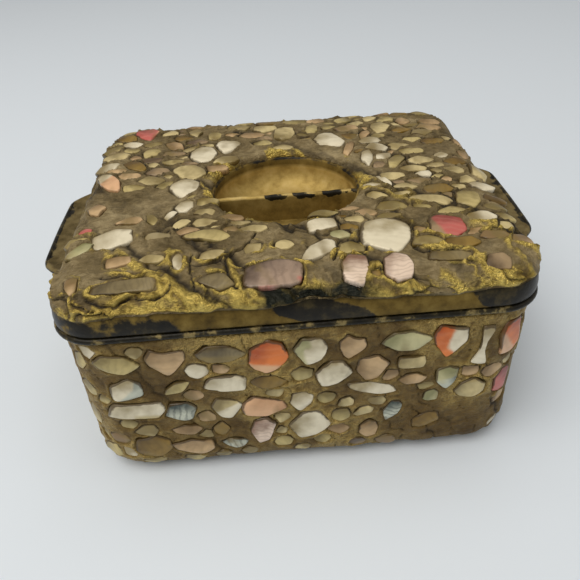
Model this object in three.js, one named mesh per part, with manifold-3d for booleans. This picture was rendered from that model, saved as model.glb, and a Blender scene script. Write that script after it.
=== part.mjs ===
// Inlaid jewelry box: a pressed tin tub with two ears and a lift-off tin lid, both coated
// outside with gold-painted putty that holds chips of shell and polished stone.
// Millimetres, +Z up, +X to the right, the front towards -Y. The origin is at the bottom centre.
import * as THREE from 'three';
import { mergeVertices } from 'three/addons/utils/BufferGeometryUtils.js';
import Module from 'manifold-3d';

const wasm = await Module();
wasm.setup();

// Driving dimensions of the box
const LID_HALF_WIDTH = 74.6;
const LID_HALF_DEPTH = 64.3;
const LID_CORNER = 15;
const GAP_HEIGHT = 63.1;
const TOP_HEIGHT = 76.6;
const TIN = 0.6;
const SEAT_GAP = 0.3;
const ARC_STEPS = 5;

// Tub, whose wall is nearer square than its rim
const TUB_REACH = 70;
const TUB_HALF_DEPTH = 61;
const TUB_CORNER = 16;
const RIM_CORNER = 15;
const FOOT_RADIUS = 7;
const BEAD_REACH = 75;
const BEAD_HEIGHT = 2.1;
const BEAD_ROUND = 0.5;
const COLLAR_REACH = 73.1;
const COLLAR_TOP = 67.6;
const BEAD_TOP = GAP_HEIGHT - 0.2;
const BEAD_BOTTOM = BEAD_TOP - BEAD_HEIGHT;

// Ears on the short sides, each with a rolled edge
const EAR_REACH = 86.3;
const EAR_HALF_OUTER = 20;
const EAR_HALF_INNER = 31;
const EAR_THICKNESS = 1.3;
const EAR_ROLL = 2.4;
const EAR_LAP = 0.8;
const EAR_DROP = 0.4;
const EAR_ROUND = 3;

// Coat of putty on the tub
const WALL_TOP = BEAD_BOTTOM - SEAT_GAP;
const WALL_REACH_TOP = 74;
const WALL_REACH_FOOT = 73;
const WALL_DEPTH_TOP = 64.2;
const WALL_DEPTH_FOOT = 64.7;
const WALL_CORNER = 18.5;
const COAT_FOOT = 9.5;
const COAT_BOTTOM = 0.4;
const COAT_EDGE = 1.1;

// Lid, its finger well and the rib across the well
const FLAT_INSET = 8;
const LIP_TUCK = 0.5;
const SKIRT_BOTTOM = GAP_HEIGHT + 0.2;
const PLATE_TOP = 73.4;
const WELL_RADIUS = 26;
const WELL_FLOOR = 61.9;
const WELL_FILLET = 7;
const RIB_Y = -2;
const RIB_THICKNESS = 2;
const RIB_TOP = 72.2;

// Chips: how deep a set chip goes, how far it stands out, and the room round it in its pocket
const CHIP_DEPTH = 1.8;
const CHIP_PROUD = 0.7;
const CHIP_ROOM = 0.3;
const CHIP_BEVEL = 0.5;
const BURIED_DEPTH = 1.5;
const BURIED_PROUD = 0.5;

// How much less the half depth is than the half width, and how far apart a slope is measured
const SLIM = LID_HALF_WIDTH - LID_HALF_DEPTH;
const SLOPE_REACH = 2;

// Turns a closed mesh into a solid whose shared corners are merged
function toSolid(geometry) {
  const bare = geometry.clone();
  bare.deleteAttribute('normal');
  bare.deleteAttribute('uv');
  const merged = mergeVertices(bare, 1e-4);
  return new wasm.Manifold(new wasm.Mesh({
    numProp: 3,
    vertProperties: new Float32Array(merged.attributes.position.array),
    triVerts: new Uint32Array(merged.index.array),
  }));
}

function toGeometry(solid) {
  const mesh = solid.getMesh();
  const geometry = new THREE.BufferGeometry();
  geometry.setAttribute('position', new THREE.BufferAttribute(mesh.vertProperties, 3));
  geometry.setIndex(new THREE.BufferAttribute(mesh.triVerts, 1));
  return geometry;
}

// A turned profile squared up to a rounded rectangle. Each profile point is the half width at
// a height, then how much less the half depth is where that isn't SLIM, and its own corner.
// Otherwise the corner shrinks and grows with the reach.
function squaredUp(points, fullReach, fullCorner) {
  const profile = points.map(([reach, z]) => new THREE.Vector2(reach, z));
  const steps = 4 * (ARC_STEPS + 1);
  const geometry = new THREE.LatheGeometry(profile, steps);
  const place = geometry.attributes.position;
  for (let i = 0; i <= steps; i++) {
    const corner = Math.floor((i % steps) / (ARC_STEPS + 1));
    const angle = (corner + ((i % steps) % (ARC_STEPS + 1)) / ARC_STEPS) * Math.PI / 2;
    const sideX = corner === 0 || corner === 3 ? 1 : -1;
    const sideY = corner < 2 ? 1 : -1;
    profile.forEach((point, j) => {
      const halfX = point.x;
      const halfY = Math.max(point.x - (points[j][2] ?? SLIM), 0);
      const ownCorner = points[j][3] ?? point.x - fullReach + fullCorner;
      const radius = Math.min(Math.max(ownCorner, 0), halfY);
      const x = sideX * (halfX - radius) + radius * Math.cos(angle);
      const y = sideY * (halfY - radius) + radius * Math.sin(angle);
      place.setXYZ(i * profile.length + j, x, y, point.y);
    });
  }
  return geometry;
}

// A turned profile round the upright axis
function turned(points, segments = 32) {
  const profile = points.map(([radius, z]) => new THREE.Vector2(radius, z));
  return new THREE.LatheGeometry(profile, segments).rotateX(Math.PI / 2);
}

// Points of a quarter circle between two heights, for fillets and rounded feet
function quarter(centreReach, centreZ, radius, fromDegrees, toDegrees, steps) {
  return Array.from({ length: steps + 1 }, (_, i) => {
    const angle = THREE.MathUtils.degToRad(fromDegrees + (toDegrees - fromDegrees) * i / steps);
    return [centreReach + radius * Math.cos(angle), centreZ + radius * Math.sin(angle)];
  });
}

// A profile point of the tub's wall, which is nearer square than the rim
function asWall([reach, z]) {
  return [reach, z, TUB_REACH - TUB_HALF_DEPTH, TUB_CORNER - TUB_REACH + reach];
}

// Tub: base, foot, wall, bead under the lid and collar inside it, with the two ears
function tub() {
  const inner = TUB_REACH - TIN;
  const beadMiddle = (BEAD_TOP + BEAD_BOTTOM) / 2;
  const shell = squaredUp([
    [0, 0],
    ...quarter(TUB_REACH - FOOT_RADIUS, FOOT_RADIUS, FOOT_RADIUS, -90, 0, 3).map(asWall),
    asWall([TUB_REACH, BEAD_BOTTOM]),
    [BEAD_REACH - BEAD_ROUND, BEAD_BOTTOM],
    [BEAD_REACH, beadMiddle],
    [BEAD_REACH - BEAD_ROUND, BEAD_TOP],
    [COLLAR_REACH, BEAD_TOP],
    [COLLAR_REACH, COLLAR_TOP],
    [COLLAR_REACH - TIN, COLLAR_TOP],
    [COLLAR_REACH - TIN, beadMiddle],
    asWall([inner, BEAD_BOTTOM]),
    ...quarter(TUB_REACH - FOOT_RADIUS, FOOT_RADIUS, FOOT_RADIUS - TIN, 0, -90, 3).map(asWall),
    [0, TIN],
  ], BEAD_REACH, RIM_CORNER);
  const rightEar = ear();
  return wasm.Manifold.union([toSolid(shell), rightEar, rightEar.mirror([1, 0, 0])]);
}

// The right ear: a flat tab with sloping ends and a rolled edge, lapped into the bead
function ear() {
  const root = BEAD_REACH - EAR_LAP;
  const tab = new THREE.Shape([
    new THREE.Vector2(root, -EAR_HALF_INNER),
    new THREE.Vector2(EAR_REACH - EAR_ROUND, -EAR_HALF_OUTER - EAR_ROUND + 1),
    new THREE.Vector2(EAR_REACH - 1, -EAR_HALF_OUTER),
    new THREE.Vector2(EAR_REACH - 1, EAR_HALF_OUTER),
    new THREE.Vector2(EAR_REACH - EAR_ROUND, EAR_HALF_OUTER + EAR_ROUND - 1),
    new THREE.Vector2(root, EAR_HALF_INNER),
  ]);
  const plate = new THREE.ExtrudeGeometry(tab, { depth: EAR_THICKNESS, bevelEnabled: false });
  plate.translate(0, 0, BEAD_TOP - EAR_DROP - EAR_THICKNESS);
  const roll = new THREE.CylinderGeometry(EAR_ROLL / 2, EAR_ROLL / 2, 2 * EAR_HALF_OUTER, 8);
  roll.translate(EAR_REACH - EAR_ROLL / 2, 0, BEAD_TOP - EAR_DROP / 2 - EAR_ROLL / 2);
  return toSolid(plate).add(toSolid(roll));
}

// Outer profile of the tin lid from its lip to the flat top, as half width and height
const lidSkin = [
  [LID_HALF_WIDTH - LIP_TUCK, SKIRT_BOTTOM],
  [LID_HALF_WIDTH, SKIRT_BOTTOM + 1],
  [LID_HALF_WIDTH, SKIRT_BOTTOM + 2.3],
  [LID_HALF_WIDTH - 0.6, SKIRT_BOTTOM + 5.3],
  [LID_HALF_WIDTH - 1.4, PLATE_TOP - 3],
  [LID_HALF_WIDTH - 3, PLATE_TOP - 1.4],
  [LID_HALF_WIDTH - 5.2, PLATE_TOP - 0.4],
  [LID_HALF_WIDTH - FLAT_INSET, PLATE_TOP],
];

// Lid: skirt and top pressed in one, with the round well and the rib that the fingers pinch
function lid() {
  const inside = lidSkin.slice(1).map(([reach, z]) => [reach - TIN, z - TIN * 0.6]).reverse();
  const shell = toSolid(squaredUp([
    [0, PLATE_TOP - TIN],
    [LID_HALF_WIDTH - FLAT_INSET - TIN, PLATE_TOP - TIN],
    ...inside.slice(1),
    [LID_HALF_WIDTH - LIP_TUCK - TIN, SKIRT_BOTTOM],
    ...lidSkin,
    [0, PLATE_TOP],
  ], LID_HALF_WIDTH, LID_CORNER));
  const hole = toSolid(turned([[0, WELL_FLOOR], [WELL_RADIUS, WELL_FLOOR], [WELL_RADIUS, TOP_HEIGHT],
    [0, TOP_HEIGHT]]));
  const wall = WELL_RADIUS + TIN;
  const bowl = toSolid(turned([
    [0, WELL_FLOOR - TIN],
    ...quarter(wall - WELL_FILLET - TIN, WELL_FLOOR + WELL_FILLET, WELL_FILLET + TIN, -90, 0, 3),
    [wall, PLATE_TOP - TIN / 2],
    [WELL_RADIUS, PLATE_TOP],
    ...quarter(WELL_RADIUS - WELL_FILLET, WELL_FLOOR + WELL_FILLET, WELL_FILLET, 0, -90, 3),
    [0, WELL_FLOOR],
  ]));
  const ribShape = new THREE.Shape();
  ribShape.moveTo(-RIB_THICKNESS / 2, WELL_FLOOR - TIN / 2);
  ribShape.lineTo(RIB_THICKNESS / 2, WELL_FLOOR - TIN / 2);
  ribShape.absarc(0, RIB_TOP - RIB_THICKNESS / 2, RIB_THICKNESS / 2, 0, Math.PI);
  const ribBar = new THREE.ExtrudeGeometry(ribShape,
    { depth: 2 * WELL_RADIUS + TIN, bevelEnabled: false, curveSegments: 4 });
  ribBar.rotateX(Math.PI / 2).rotateZ(Math.PI / 2);
  ribBar.translate(-WELL_RADIUS - TIN / 2, RIB_Y, 0);
  const outerBowl = toSolid(turned([
    [0, WELL_FLOOR - TIN / 2],
    ...quarter(wall - WELL_FILLET - TIN, WELL_FLOOR + WELL_FILLET, WELL_FILLET + TIN / 2, -90, 0, 3),
    [WELL_RADIUS + TIN / 2, PLATE_TOP],
    [0, PLATE_TOP],
  ]));
  const rib = toSolid(ribBar).intersect(outerBowl);
  return shell.subtract(hole).add(bowl).add(rib);
}

// Half width and half depth of the wall's coat at a height, with its rounded foot
function wallHalves(z) {
  const up = z / WALL_TOP;
  const below = Math.max(COAT_FOOT - z, 0);
  const tuck = COAT_FOOT - Math.sqrt(COAT_FOOT ** 2 - below ** 2);
  return {
    halfX: WALL_REACH_FOOT + (WALL_REACH_TOP - WALL_REACH_FOOT) * up - tuck,
    halfY: WALL_DEPTH_FOOT + (WALL_DEPTH_TOP - WALL_DEPTH_FOOT) * up - tuck,
  };
}

// Coat on the tub: from under the bead down round the foot, with the tub's room cut out of it
function wallCoat() {
  const levels = [COAT_BOTTOM, 2.2, 5.2, COAT_FOOT, WALL_TOP - 1.3 * COAT_EDGE];
  const halves = levels.map((z) => [z, wallHalves(z)]);
  const top = wallHalves(WALL_TOP);
  const skin = toSolid(squaredUp([
    [0, levels[0]],
    ...halves.map(([z, { halfX, halfY }]) => [halfX, z, halfX - halfY]),
    [top.halfX - COAT_EDGE, WALL_TOP, top.halfX - top.halfY],
    [0, WALL_TOP],
  ], WALL_REACH_TOP, WALL_CORNER));
  const room = toSolid(squaredUp([
    [0, -SEAT_GAP],
    ...quarter(TUB_REACH - FOOT_RADIUS, FOOT_RADIUS, FOOT_RADIUS + SEAT_GAP, -90, 0, 3).map(asWall),
    asWall([TUB_REACH + SEAT_GAP, WALL_TOP + 1]),
    [0, WALL_TOP + 1],
  ], BEAD_REACH, RIM_CORNER));
  return skin.subtract(room);
}

// How far inside the lid's rim each height of its coat lies
const lidRise = [[0, 69.4], [0.2, 71.4], [1.4, 73.4], [3.6, 75], [6.6, 76.1], [11, TOP_HEIGHT]];

function lidCoatHeight(inset) {
  for (let i = 1; i < lidRise.length; i++) {
    const [from, low] = lidRise[i - 1];
    const [to, high] = lidRise[i];
    if (inset < to) {
      return low + (high - low) * Math.max(inset - from, 0) / (to - from);
    }
  }
  return TOP_HEIGHT;
}

// Coat on the lid: from the bare band over the shoulder and the top to the well
function lidCoat() {
  const underside = lidSkin.slice(3).map(([reach, z]) => [reach + 0.25, z + SEAT_GAP]);
  const top = squaredUp([
    [0, PLATE_TOP + SEAT_GAP],
    ...underside.slice().reverse(),
    [LID_HALF_WIDTH - 0.1, lidRise[0][1] - 0.5],
    ...lidRise.map(([inset, z]) => [LID_HALF_WIDTH - inset, z]),
    [0, TOP_HEIGHT],
  ], LID_HALF_WIDTH, LID_CORNER);
  const mouth = turned([
    [0, PLATE_TOP - 1],
    [WELL_RADIUS + 0.9, PLATE_TOP - 1],
    [WELL_RADIUS + 0.8, PLATE_TOP + 1.2],
    [WELL_RADIUS + 1.4, PLATE_TOP + 2.3],
    [WELL_RADIUS + 3.6, TOP_HEIGHT + 0.1],
    [0, TOP_HEIGHT + 0.1],
  ], 28);
  return toSolid(top).subtract(toSolid(mouth));
}

// Frame on the wall's coat: along is the way round from the middle of the front, to the right
function onWall(along, z) {
  const { halfX, halfY } = wallHalves(z);
  const straightX = halfX - WALL_CORNER;
  const straightY = halfY - WALL_CORNER;
  const bend = WALL_CORNER * Math.PI / 2;
  const runs = [
    { length: 2 * straightX, from: [-straightX, -halfY], heading: 0 },
    { length: bend, centre: [straightX, -straightY], heading: 0 },
    { length: 2 * straightY, from: [halfX, -straightY], heading: Math.PI / 2 },
    { length: bend, centre: [straightX, straightY], heading: Math.PI / 2 },
    { length: 2 * straightX, from: [straightX, halfY], heading: Math.PI },
    { length: bend, centre: [-straightX, straightY], heading: Math.PI },
    { length: 2 * straightY, from: [-halfX, straightY], heading: 1.5 * Math.PI },
    { length: bend, centre: [-straightX, -straightY], heading: 1.5 * Math.PI },
  ];
  const round = runs.reduce((sum, run) => sum + run.length, 0);
  let rest = ((along + straightX) % round + round) % round;
  const run = runs.find((each) => {
    if (rest <= each.length) return true;
    rest -= each.length;
    return false;
  });
  const heading = run.from ? run.heading : run.heading + rest / WALL_CORNER;
  const ahead = new THREE.Vector3(Math.cos(heading), Math.sin(heading), 0);
  const out = new THREE.Vector3(ahead.y, -ahead.x, 0);
  const spot = run.from
    ? new THREE.Vector3(run.from[0], run.from[1], z).addScaledVector(ahead, rest)
    : new THREE.Vector3(run.centre[0], run.centre[1], z).addScaledVector(out, WALL_CORNER);
  const lean = z < COAT_FOOT ? Math.asin((COAT_FOOT - z) / COAT_FOOT) : 0;
  const normal = out.clone().multiplyScalar(Math.cos(lean)).add(new THREE.Vector3(0, 0, -Math.sin(lean)));
  return frameOf(spot, ahead, normal);
}

// Frame on the lid's coat at a place seen from above
function onLid(x, y) {
  const cornerX = LID_HALF_WIDTH - LID_CORNER;
  const cornerY = LID_HALF_DEPTH - LID_CORNER;
  const pastX = Math.abs(x) - cornerX;
  const pastY = Math.abs(y) - cornerY;
  const inward = new THREE.Vector3();
  let inset;
  if (pastX > 0 && pastY > 0) {
    const away = Math.hypot(pastX, pastY);
    inset = LID_CORNER - away;
    inward.set(-Math.sign(x) * pastX / away, -Math.sign(y) * pastY / away, 0);
  } else if (pastX > pastY) {
    inset = LID_CORNER - pastX;
    inward.set(-Math.sign(x), 0, 0);
  } else {
    inset = LID_CORNER - pastY;
    inward.set(0, -Math.sign(y), 0);
  }
  const rise = (lidCoatHeight(inset + SLOPE_REACH) - lidCoatHeight(inset - SLOPE_REACH)) / (2 * SLOPE_REACH);
  const normal = inward.clone().multiplyScalar(-rise).add(new THREE.Vector3(0, 0, 1)).normalize();
  return frameOf(new THREE.Vector3(x, y, lidCoatHeight(inset)), new THREE.Vector3(1, 0, 0), normal);
}

function frameOf(spot, ahead, normal) {
  const side = new THREE.Vector3().crossVectors(normal, ahead).normalize();
  const along = new THREE.Vector3().crossVectors(side, normal);
  return new THREE.Matrix4().makeBasis(along, side, normal).setPosition(spot);
}

// Outlines that the chips were broken to, one unit long and one wide, long axis along X
const outlines = {
  almond: [[-0.5, 0], [-0.2, -0.42], [0.2, -0.48], [0.5, -0.02], [0.15, 0.46], [-0.25, 0.4]],
  wedge: [[-0.5, 0.05], [-0.38, -0.3], [0.3, -0.5], [0.5, -0.1], [0.4, 0.42], [-0.05, 0.5]],
  slab: [[-0.5, -0.3], [-0.1, -0.5], [0.42, -0.42], [0.5, 0.25], [0.2, 0.5], [-0.4, 0.42]],
  bar: [[-0.5, -0.4], [0.38, -0.5], [0.5, 0.1], [0.42, 0.5], [-0.44, 0.42]],
  drop: [[-0.5, -0.05], [-0.15, -0.42], [0.3, -0.5], [0.5, -0.1], [0.38, 0.4], [-0.1, 0.5]],
  heart: [[-0.5, -0.05], [0.15, -0.5], [0.46, -0.38], [0.42, 0], [0.5, 0.34], [0.2, 0.5], [-0.1, 0.36]],
  pebble: [[-0.5, 0], [-0.36, -0.38], [0.05, -0.5], [0.42, -0.3], [0.5, 0.1], [0.2, 0.48], [-0.3, 0.42]],
  waist: [[-0.5, -0.5], [-0.1, -0.12], [0.14, -0.16], [0.5, -0.42], [0.46, 0.3], [0.1, 0.12],
    [-0.12, 0.16], [-0.48, 0.5]],
  sliver: [[-0.5, -0.2], [0.1, -0.5], [0.5, 0], [0.1, 0.5], [-0.3, 0.3]],
};

// One chip: a prism on its outline, standing from bottom to top with the upper edge worn back
function chipSolid(outline, length, width, bottom, top, grow, bevel) {
  const sizeX = length + 2 * grow;
  const sizeY = width + 2 * grow;
  const shape = new THREE.Shape(outline.map(([x, y]) => new THREE.Vector2(x * sizeX, y * sizeY)));
  const steps = bevel > 0 ? 2 : 1;
  const prism = new THREE.ExtrudeGeometry(shape, { depth: 2, steps, bevelEnabled: false });
  const place = prism.attributes.position;
  for (let i = 0; i < place.count; i++) {
    const level = place.getZ(i);
    const worn = level > 1.5 ? 1 - 2 * bevel / Math.min(sizeX, sizeY) : 1;
    const z = level > 1.5 ? top : level > 0.5 ? top - bevel : bottom;
    place.setXYZ(i, place.getX(i) * worn, place.getY(i) * worn, z);
  }
  return prism;
}

function placed(geometry, frame, turnDegrees) {
  const turn = new THREE.Matrix4().makeRotationZ(THREE.MathUtils.degToRad(turnDegrees));
  return geometry.applyMatrix4(frame.clone().multiply(turn));
}

// Shell and stone colours, with how rough each is
const stones = {
  white: [0xd8d3c0, 0.35],
  cream: [0xc9bf9d, 0.4],
  olive: [0xada77c, 0.45],
  beige: [0xb59c80, 0.45],
  ochre: [0x8a6f35, 0.4],
  grey: [0x84796a, 0.4],
  blue: [0x8e9a94, 0.3],
  green: [0xaeb69a, 0.35],
  salmon: [0xcf9a84, 0.4],
  coral: [0xcf6f50, 0.35],
  crimson: [0xa8444c, 0.35],
  pearl: [0x9b8179, 0.25],
};

// Chips of the wall that show best: name, stone, way round, height, length, width, turn, outline
const wallChips = [
  ['almond_olive', 'olive', -56.5, 52.7, 13.5, 6.8, -8, 'almond'],
  ['heart_beige', 'beige', -41.5, 51.5, 10.5, 12.5, 85, 'heart'],
  ['crescent_grey', 'grey', -25, 53.6, 15.5, 7, -4, 'almond'],
  ['heart_coral', 'coral', -10.5, 51.1, 11.6, 11.4, 80, 'pebble'],
  ['slab_white_blue', 'white', -55, 41.4, 9.6, 8, 10, 'slab'],
  ['wedge_olive', 'olive', -40, 40.8, 9, 4.4, 25, 'sliver'],
  ['bar_white', 'white', -24.5, 41.2, 13.4, 6, -2, 'slab'],
  ['almond_ochre', 'ochre', -10.7, 40.4, 12, 5.4, -3, 'almond'],
  ['bar_long', 'white', -54.1, 32, 15.8, 6.6, -6, 'bar'],
  ['slab_blue', 'blue', -40.1, 29.9, 8.6, 7.6, -8, 'slab'],
  ['wedge_cream', 'cream', -25.5, 29.9, 9, 9, 75, 'wedge'],
  ['wedge_salmon', 'salmon', -12.7, 29.2, 13.6, 8.6, 172, 'wedge'],
  ['wedge_pink', 'beige', -38.5, 12.6, 13, 6.6, -12, 'wedge'],
  ['lump_ochre', 'ochre', -51.5, 14.4, 11.6, 10, 12, 'pebble'],
  ['triangle_clear', 'pearl', -14.1, 17.6, 11.4, 7.8, 80, 'wedge'],
  ['drop_white', 'white', 2.5, 51.5, 10.6, 9.4, 70, 'drop'],
  ['wedge_beige', 'beige', 15, 51.8, 9, 8, 75, 'heart'],
  ['almond_green', 'green', 32, 53, 15, 7.8, 4, 'almond'],
  ['heart_coral_white', 'coral', 45.3, 50.8, 12.2, 10.6, 82, 'heart'],
  ['waist_white', 'white', 55.9, 48.4, 15.6, 5.2, 86, 'waist'],
  ['corner_coral', 'coral', 66, 49, 14, 8.6, 96, 'slab'],
  ['wedge_rose', 'beige', 21.1, 42.4, 10.2, 9.6, 80, 'wedge'],
  ['slab_white', 'white', 9.1, 41.7, 11, 8.4, 35, 'slab'],
  ['bar_cream', 'cream', 34.1, 43.7, 8.2, 4.8, -4, 'bar'],
  ['wedge_long', 'white', 21.1, 34.2, 15, 4.8, -15, 'wedge'],
  ['almond_beige', 'beige', 34.7, 36.5, 9, 4.6, 2, 'almond'],
  ['pebble_green', 'green', 45.9, 35.8, 10, 6.8, 92, 'drop'],
  ['pebble_cream', 'cream', 54.3, 30.2, 9.2, 8, 8, 'pebble'],
  ['corner_pink', 'crimson', 66.4, 29.6, 11.4, 7, 88, 'pebble'],
  ['pebble_white', 'white', -1.1, 30.4, 8.8, 6.8, 84, 'drop'],
  ['sliver_blue', 'blue', 28.9, 22.8, 9.4, 5.2, 68, 'drop'],
  ['slab_big', 'white', 0.9, 18.6, 12, 11, 40, 'slab'],
];

// Chips of the lid that show best: name, stone, x, y, length, width, turn, outline
const lidChips = [
  ['corner_crimson', 'crimson', -55.6, 51.6, 10.6, 9.6, 100, 'heart'],
  ['round_white', 'white', -31, 28.4, 13.6, 9.8, 88, 'pebble'],
  ['wedge_white', 'white', -21.4, 35, 10.6, 9.6, 82, 'wedge'],
  ['edge_rust', 'salmon', -65.6, 10.4, 15.4, 7, -62, 'pebble'],
  ['arch_cream', 'cream', -35.6, 12.8, 11.6, 9.6, -40, 'slab'],
  ['shell_white', 'white', -36.2, 0.6, 11.6, 10, 84, 'drop'],
  ['curl_white', 'white', -57.6, -31, 12.4, 9.6, 24, 'slab'],
  ['wedge_olive', 'olive', -27.4, -33, 13.6, 5.4, -4, 'wedge'],
  ['slab_grey', 'grey', -50, -57, 19.6, 4.8, 2, 'bar'],
  ['shard_grey', 'grey', -23, -57.6, 11, 6, -16, 'sliver'],
  ['pearl_mauve', 'pearl', -8, -56, 14, 10.6, 6, 'slab'],
  ['back_cream', 'cream', 2.4, 44, 12, 8.4, 78, 'pebble'],
  ['kite_white', 'white', 20.2, 34, 13, 11.4, 130, 'wedge'],
  ['back_wedge', 'cream', 42.4, 42.6, 10.4, 8, 76, 'wedge'],
  ['edge_cream', 'cream', 71.2, 0, 11, 6.4, 86, 'slab'],
  ['bar_long', 'cream', 48, -20.4, 14, 4.8, -20, 'bar'],
  ['wedge_bright', 'white', 9.8, -31.2, 9.4, 6.8, 20, 'slab'],
  ['slab_large', 'white', 29, -39.4, 16.6, 14.6, 72, 'slab'],
  ['heart_crimson', 'crimson', 48.6, -37, 11.4, 10.6, 76, 'slab'],
  ['fin_white', 'white', 7.4, -45.6, 12.6, 6.8, 42, 'wedge'],
  ['pearl_striped', 'pearl', 16.8, -56.4, 12, 7, 84, 'slab'],
  ['pearl_faceted', 'pearl', 29.2, -56.6, 10.6, 9, 80, 'pebble'],
  ['front_rose', 'beige', 58.6, -58, 7, 5.8, -10, 'slab'],
];

// Smaller and half-buried chips that still show, one with their coat: way round or x, height or
// y, length, width, turn
const wallSmall = [
  [-69.5, 51.2, 8, 5, 70], [-69.5, 39.2, 7, 6, 100], [-71.5, 25.2, 9, 6, 80], [-52.5, 22.2, 7.4, 5.2, 0],
  [-39.5, 21.2, 9, 4.4, 0], [-28.1, 19.6, 7, 6, 80], [-23.9, 12.8, 8, 3.8, -6], [41.5, 27.8, 5, 5, 0],
  [13.3, 27.8, 5.6, 4.4, 20], [19.3, 23, 7, 3.8, 24], [11.1, 15.8, 7.6, 5, -6],
  [21.5, 13.8, 8, 6.6, 82], [40.5, 16.2, 9, 6, 20], [74.5, 41.2, 8, 6, 60], [-67.5, 10.2, 9, 6, 20],
];
const lidSmall = [
  [-35.4, 51.4, 8.4, 6.2, 84], [-27, 46.6, 7, 5.4, 100], [-43.6, 39, 9, 5.6, 120],
  [-52.4, 33, 9, 7, 60], [-56.8, 22, 11, 6.6, 130], [-66.6, -10, 8, 6.4, 90],
  [-35.6, -12.4, 8, 6, 70], [-28.6, -17.4, 7, 4, -10], [-19.8, -30, 5, 3.6, 0],
  [-12.4, -30.4, 9, 4.2, -4], [-25.4, -43.8, 9.6, 5.6, 20], [-35.4, -46, 9, 3.4, 100],
  [-53.4, -44, 8, 5, 20], [-44, -44, 8, 4, 0], [-66, -54, 7, 4, 100], [-12.8, -42, 7, 6, 40],
  [14, 46, 9, 5, 70], [16.6, 56, 8, 5, 0], [39.6, 53, 7, 5.4, 70], [35, 37, 9, 4, 66],
  [58.6, 36, 8.4, 6, 0], [53.6, 49, 6, 6, 0], [38, 24, 8.6, 5.4, -20], [32.6, 15, 12, 4.6, 84],
  [42.6, 10.6, 11, 5, 60], [60.6, 13, 6.6, 4.6, 0], [70, 14, 7, 4.6, 84], [39, -1, 9, 4.6, 6],
  [62, 0.6, 8, 4.6, -30], [50.4, -1, 6, 4.4, 0], [41.6, -10, 9, 5, -6], [31, -15, 8, 5, -30],
  [60.6, -21, 9.6, 8, 70], [64, -8, 6, 5, 30], [20.6, -29.4, 6.4, 4, -10], [67.6, -39, 7, 4.6, 50],
  [14.6, -37.6, 7, 4, -10], [45, -54, 10, 5, -4], [46.5, 61.6, 9, 6, 0], [-64.6, 57.4, 8, 6, 40],
  [71.6, 26, 8, 5, 90],
];

// Sides that the light of the room doesn't reach: chips set at even steps, jogged off the row
const backRows = [14, 31, 48];
const BACK_FROM = 86;
const BACK_TO = 430;
const BACK_STEP = 18.8;

function backChips() {
  const chips = [];
  backRows.forEach((height, row) => {
    for (let i = 0; BACK_FROM + (i + (row % 2) / 2) * BACK_STEP < BACK_TO; i++) {
      const along = BACK_FROM + (i + (row % 2) / 2) * BACK_STEP + 2 * Math.sin(i * 2.3 + row);
      const z = height + 2 * Math.cos(i * 1.7 + 2 * row);
      const length = 9.4 + 2.6 * Math.sin(i * 3.1 + row * 1.3);
      const width = 6.8 + 1.4 * Math.cos(i * 2.7 + row);
      chips.push([along, z, length, width, 60 * Math.sin(i * 1.9 + row * 2.1)]);
    }
  });
  return chips;
}

// Chips pressed deep into a coat, so that coat and chips are one skin
function withBuried(coat, list, onSurface) {
  const chips = list.map(([a, b, length, width, turn]) => {
    const prism = chipSolid(outlines.sliver, length, width, -BURIED_DEPTH, BURIED_PROUD, 0, 0);
    return toSolid(placed(prism, onSurface(a, b), turn));
  });
  return wasm.Manifold.union([coat, ...chips]);
}

function pocketed(coat, list, onSurface) {
  const pockets = list.map(([, , a, b, length, width, turn, kind]) => {
    const hollow = chipSolid(outlines[kind], length, width, -CHIP_DEPTH - CHIP_ROOM, 6, CHIP_ROOM, 0);
    return toSolid(placed(hollow, onSurface(a, b), turn));
  });
  return coat.subtract(wasm.Manifold.union(pockets));
}

function chipMeshes(prefix, list, onSurface) {
  return list.map(([name, stone, a, b, length, width, turn, kind]) => {
    const body = chipSolid(outlines[kind], length, width, -CHIP_DEPTH, CHIP_PROUD, 0, CHIP_BEVEL);
    const [color, roughness] = stones[stone];
    const finish = new THREE.MeshStandardMaterial({ color, roughness, metalness: 0 });
    return named(`${prefix}_${name}`, placed(body, onSurface(a, b), turn), finish);
  });
}

function named(name, geometry, material) {
  const mesh = new THREE.Mesh(geometry, material);
  mesh.name = name;
  return mesh;
}

const enamel = new THREE.MeshStandardMaterial({ color: 0x2a2b22, roughness: 0.35, metalness: 0.2 });
const gilding = new THREE.MeshStandardMaterial({ color: 0x8f7338, roughness: 0.45, metalness: 0.5 });
const wallPutty = new THREE.MeshStandardMaterial({ color: 0x7a6540, roughness: 0.6, metalness: 0.2 });
const lidPutty = new THREE.MeshStandardMaterial({ color: 0x857145, roughness: 0.55, metalness: 0.3 });

const wallSkin = withBuried(wallCoat(), [...wallSmall, ...backChips()], onWall);
const topSkin = withBuried(lidCoat(), lidSmall, onLid);

const box = new THREE.Group();
box.add(
  named('tin_tub', toGeometry(tub()), enamel),
  named('tub_putty', toGeometry(pocketed(wallSkin, wallChips, onWall)), wallPutty),
  named('tin_lid', toGeometry(lid()), gilding),
  named('lid_putty', toGeometry(pocketed(topSkin, lidChips, onLid)), lidPutty),
  ...chipMeshes('wall_chip', wallChips, onWall),
  ...chipMeshes('lid_chip', lidChips, onLid),
);

export default box;
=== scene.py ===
# An inlaid jewelry box: a black enamelled tin with a lift-off lid, coated outside with
# gold-painted putty into which broken shell and polished stone were pressed by hand.
import itertools
import math

import bpy
import numpy as np
from mathutils import Matrix, Vector


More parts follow.
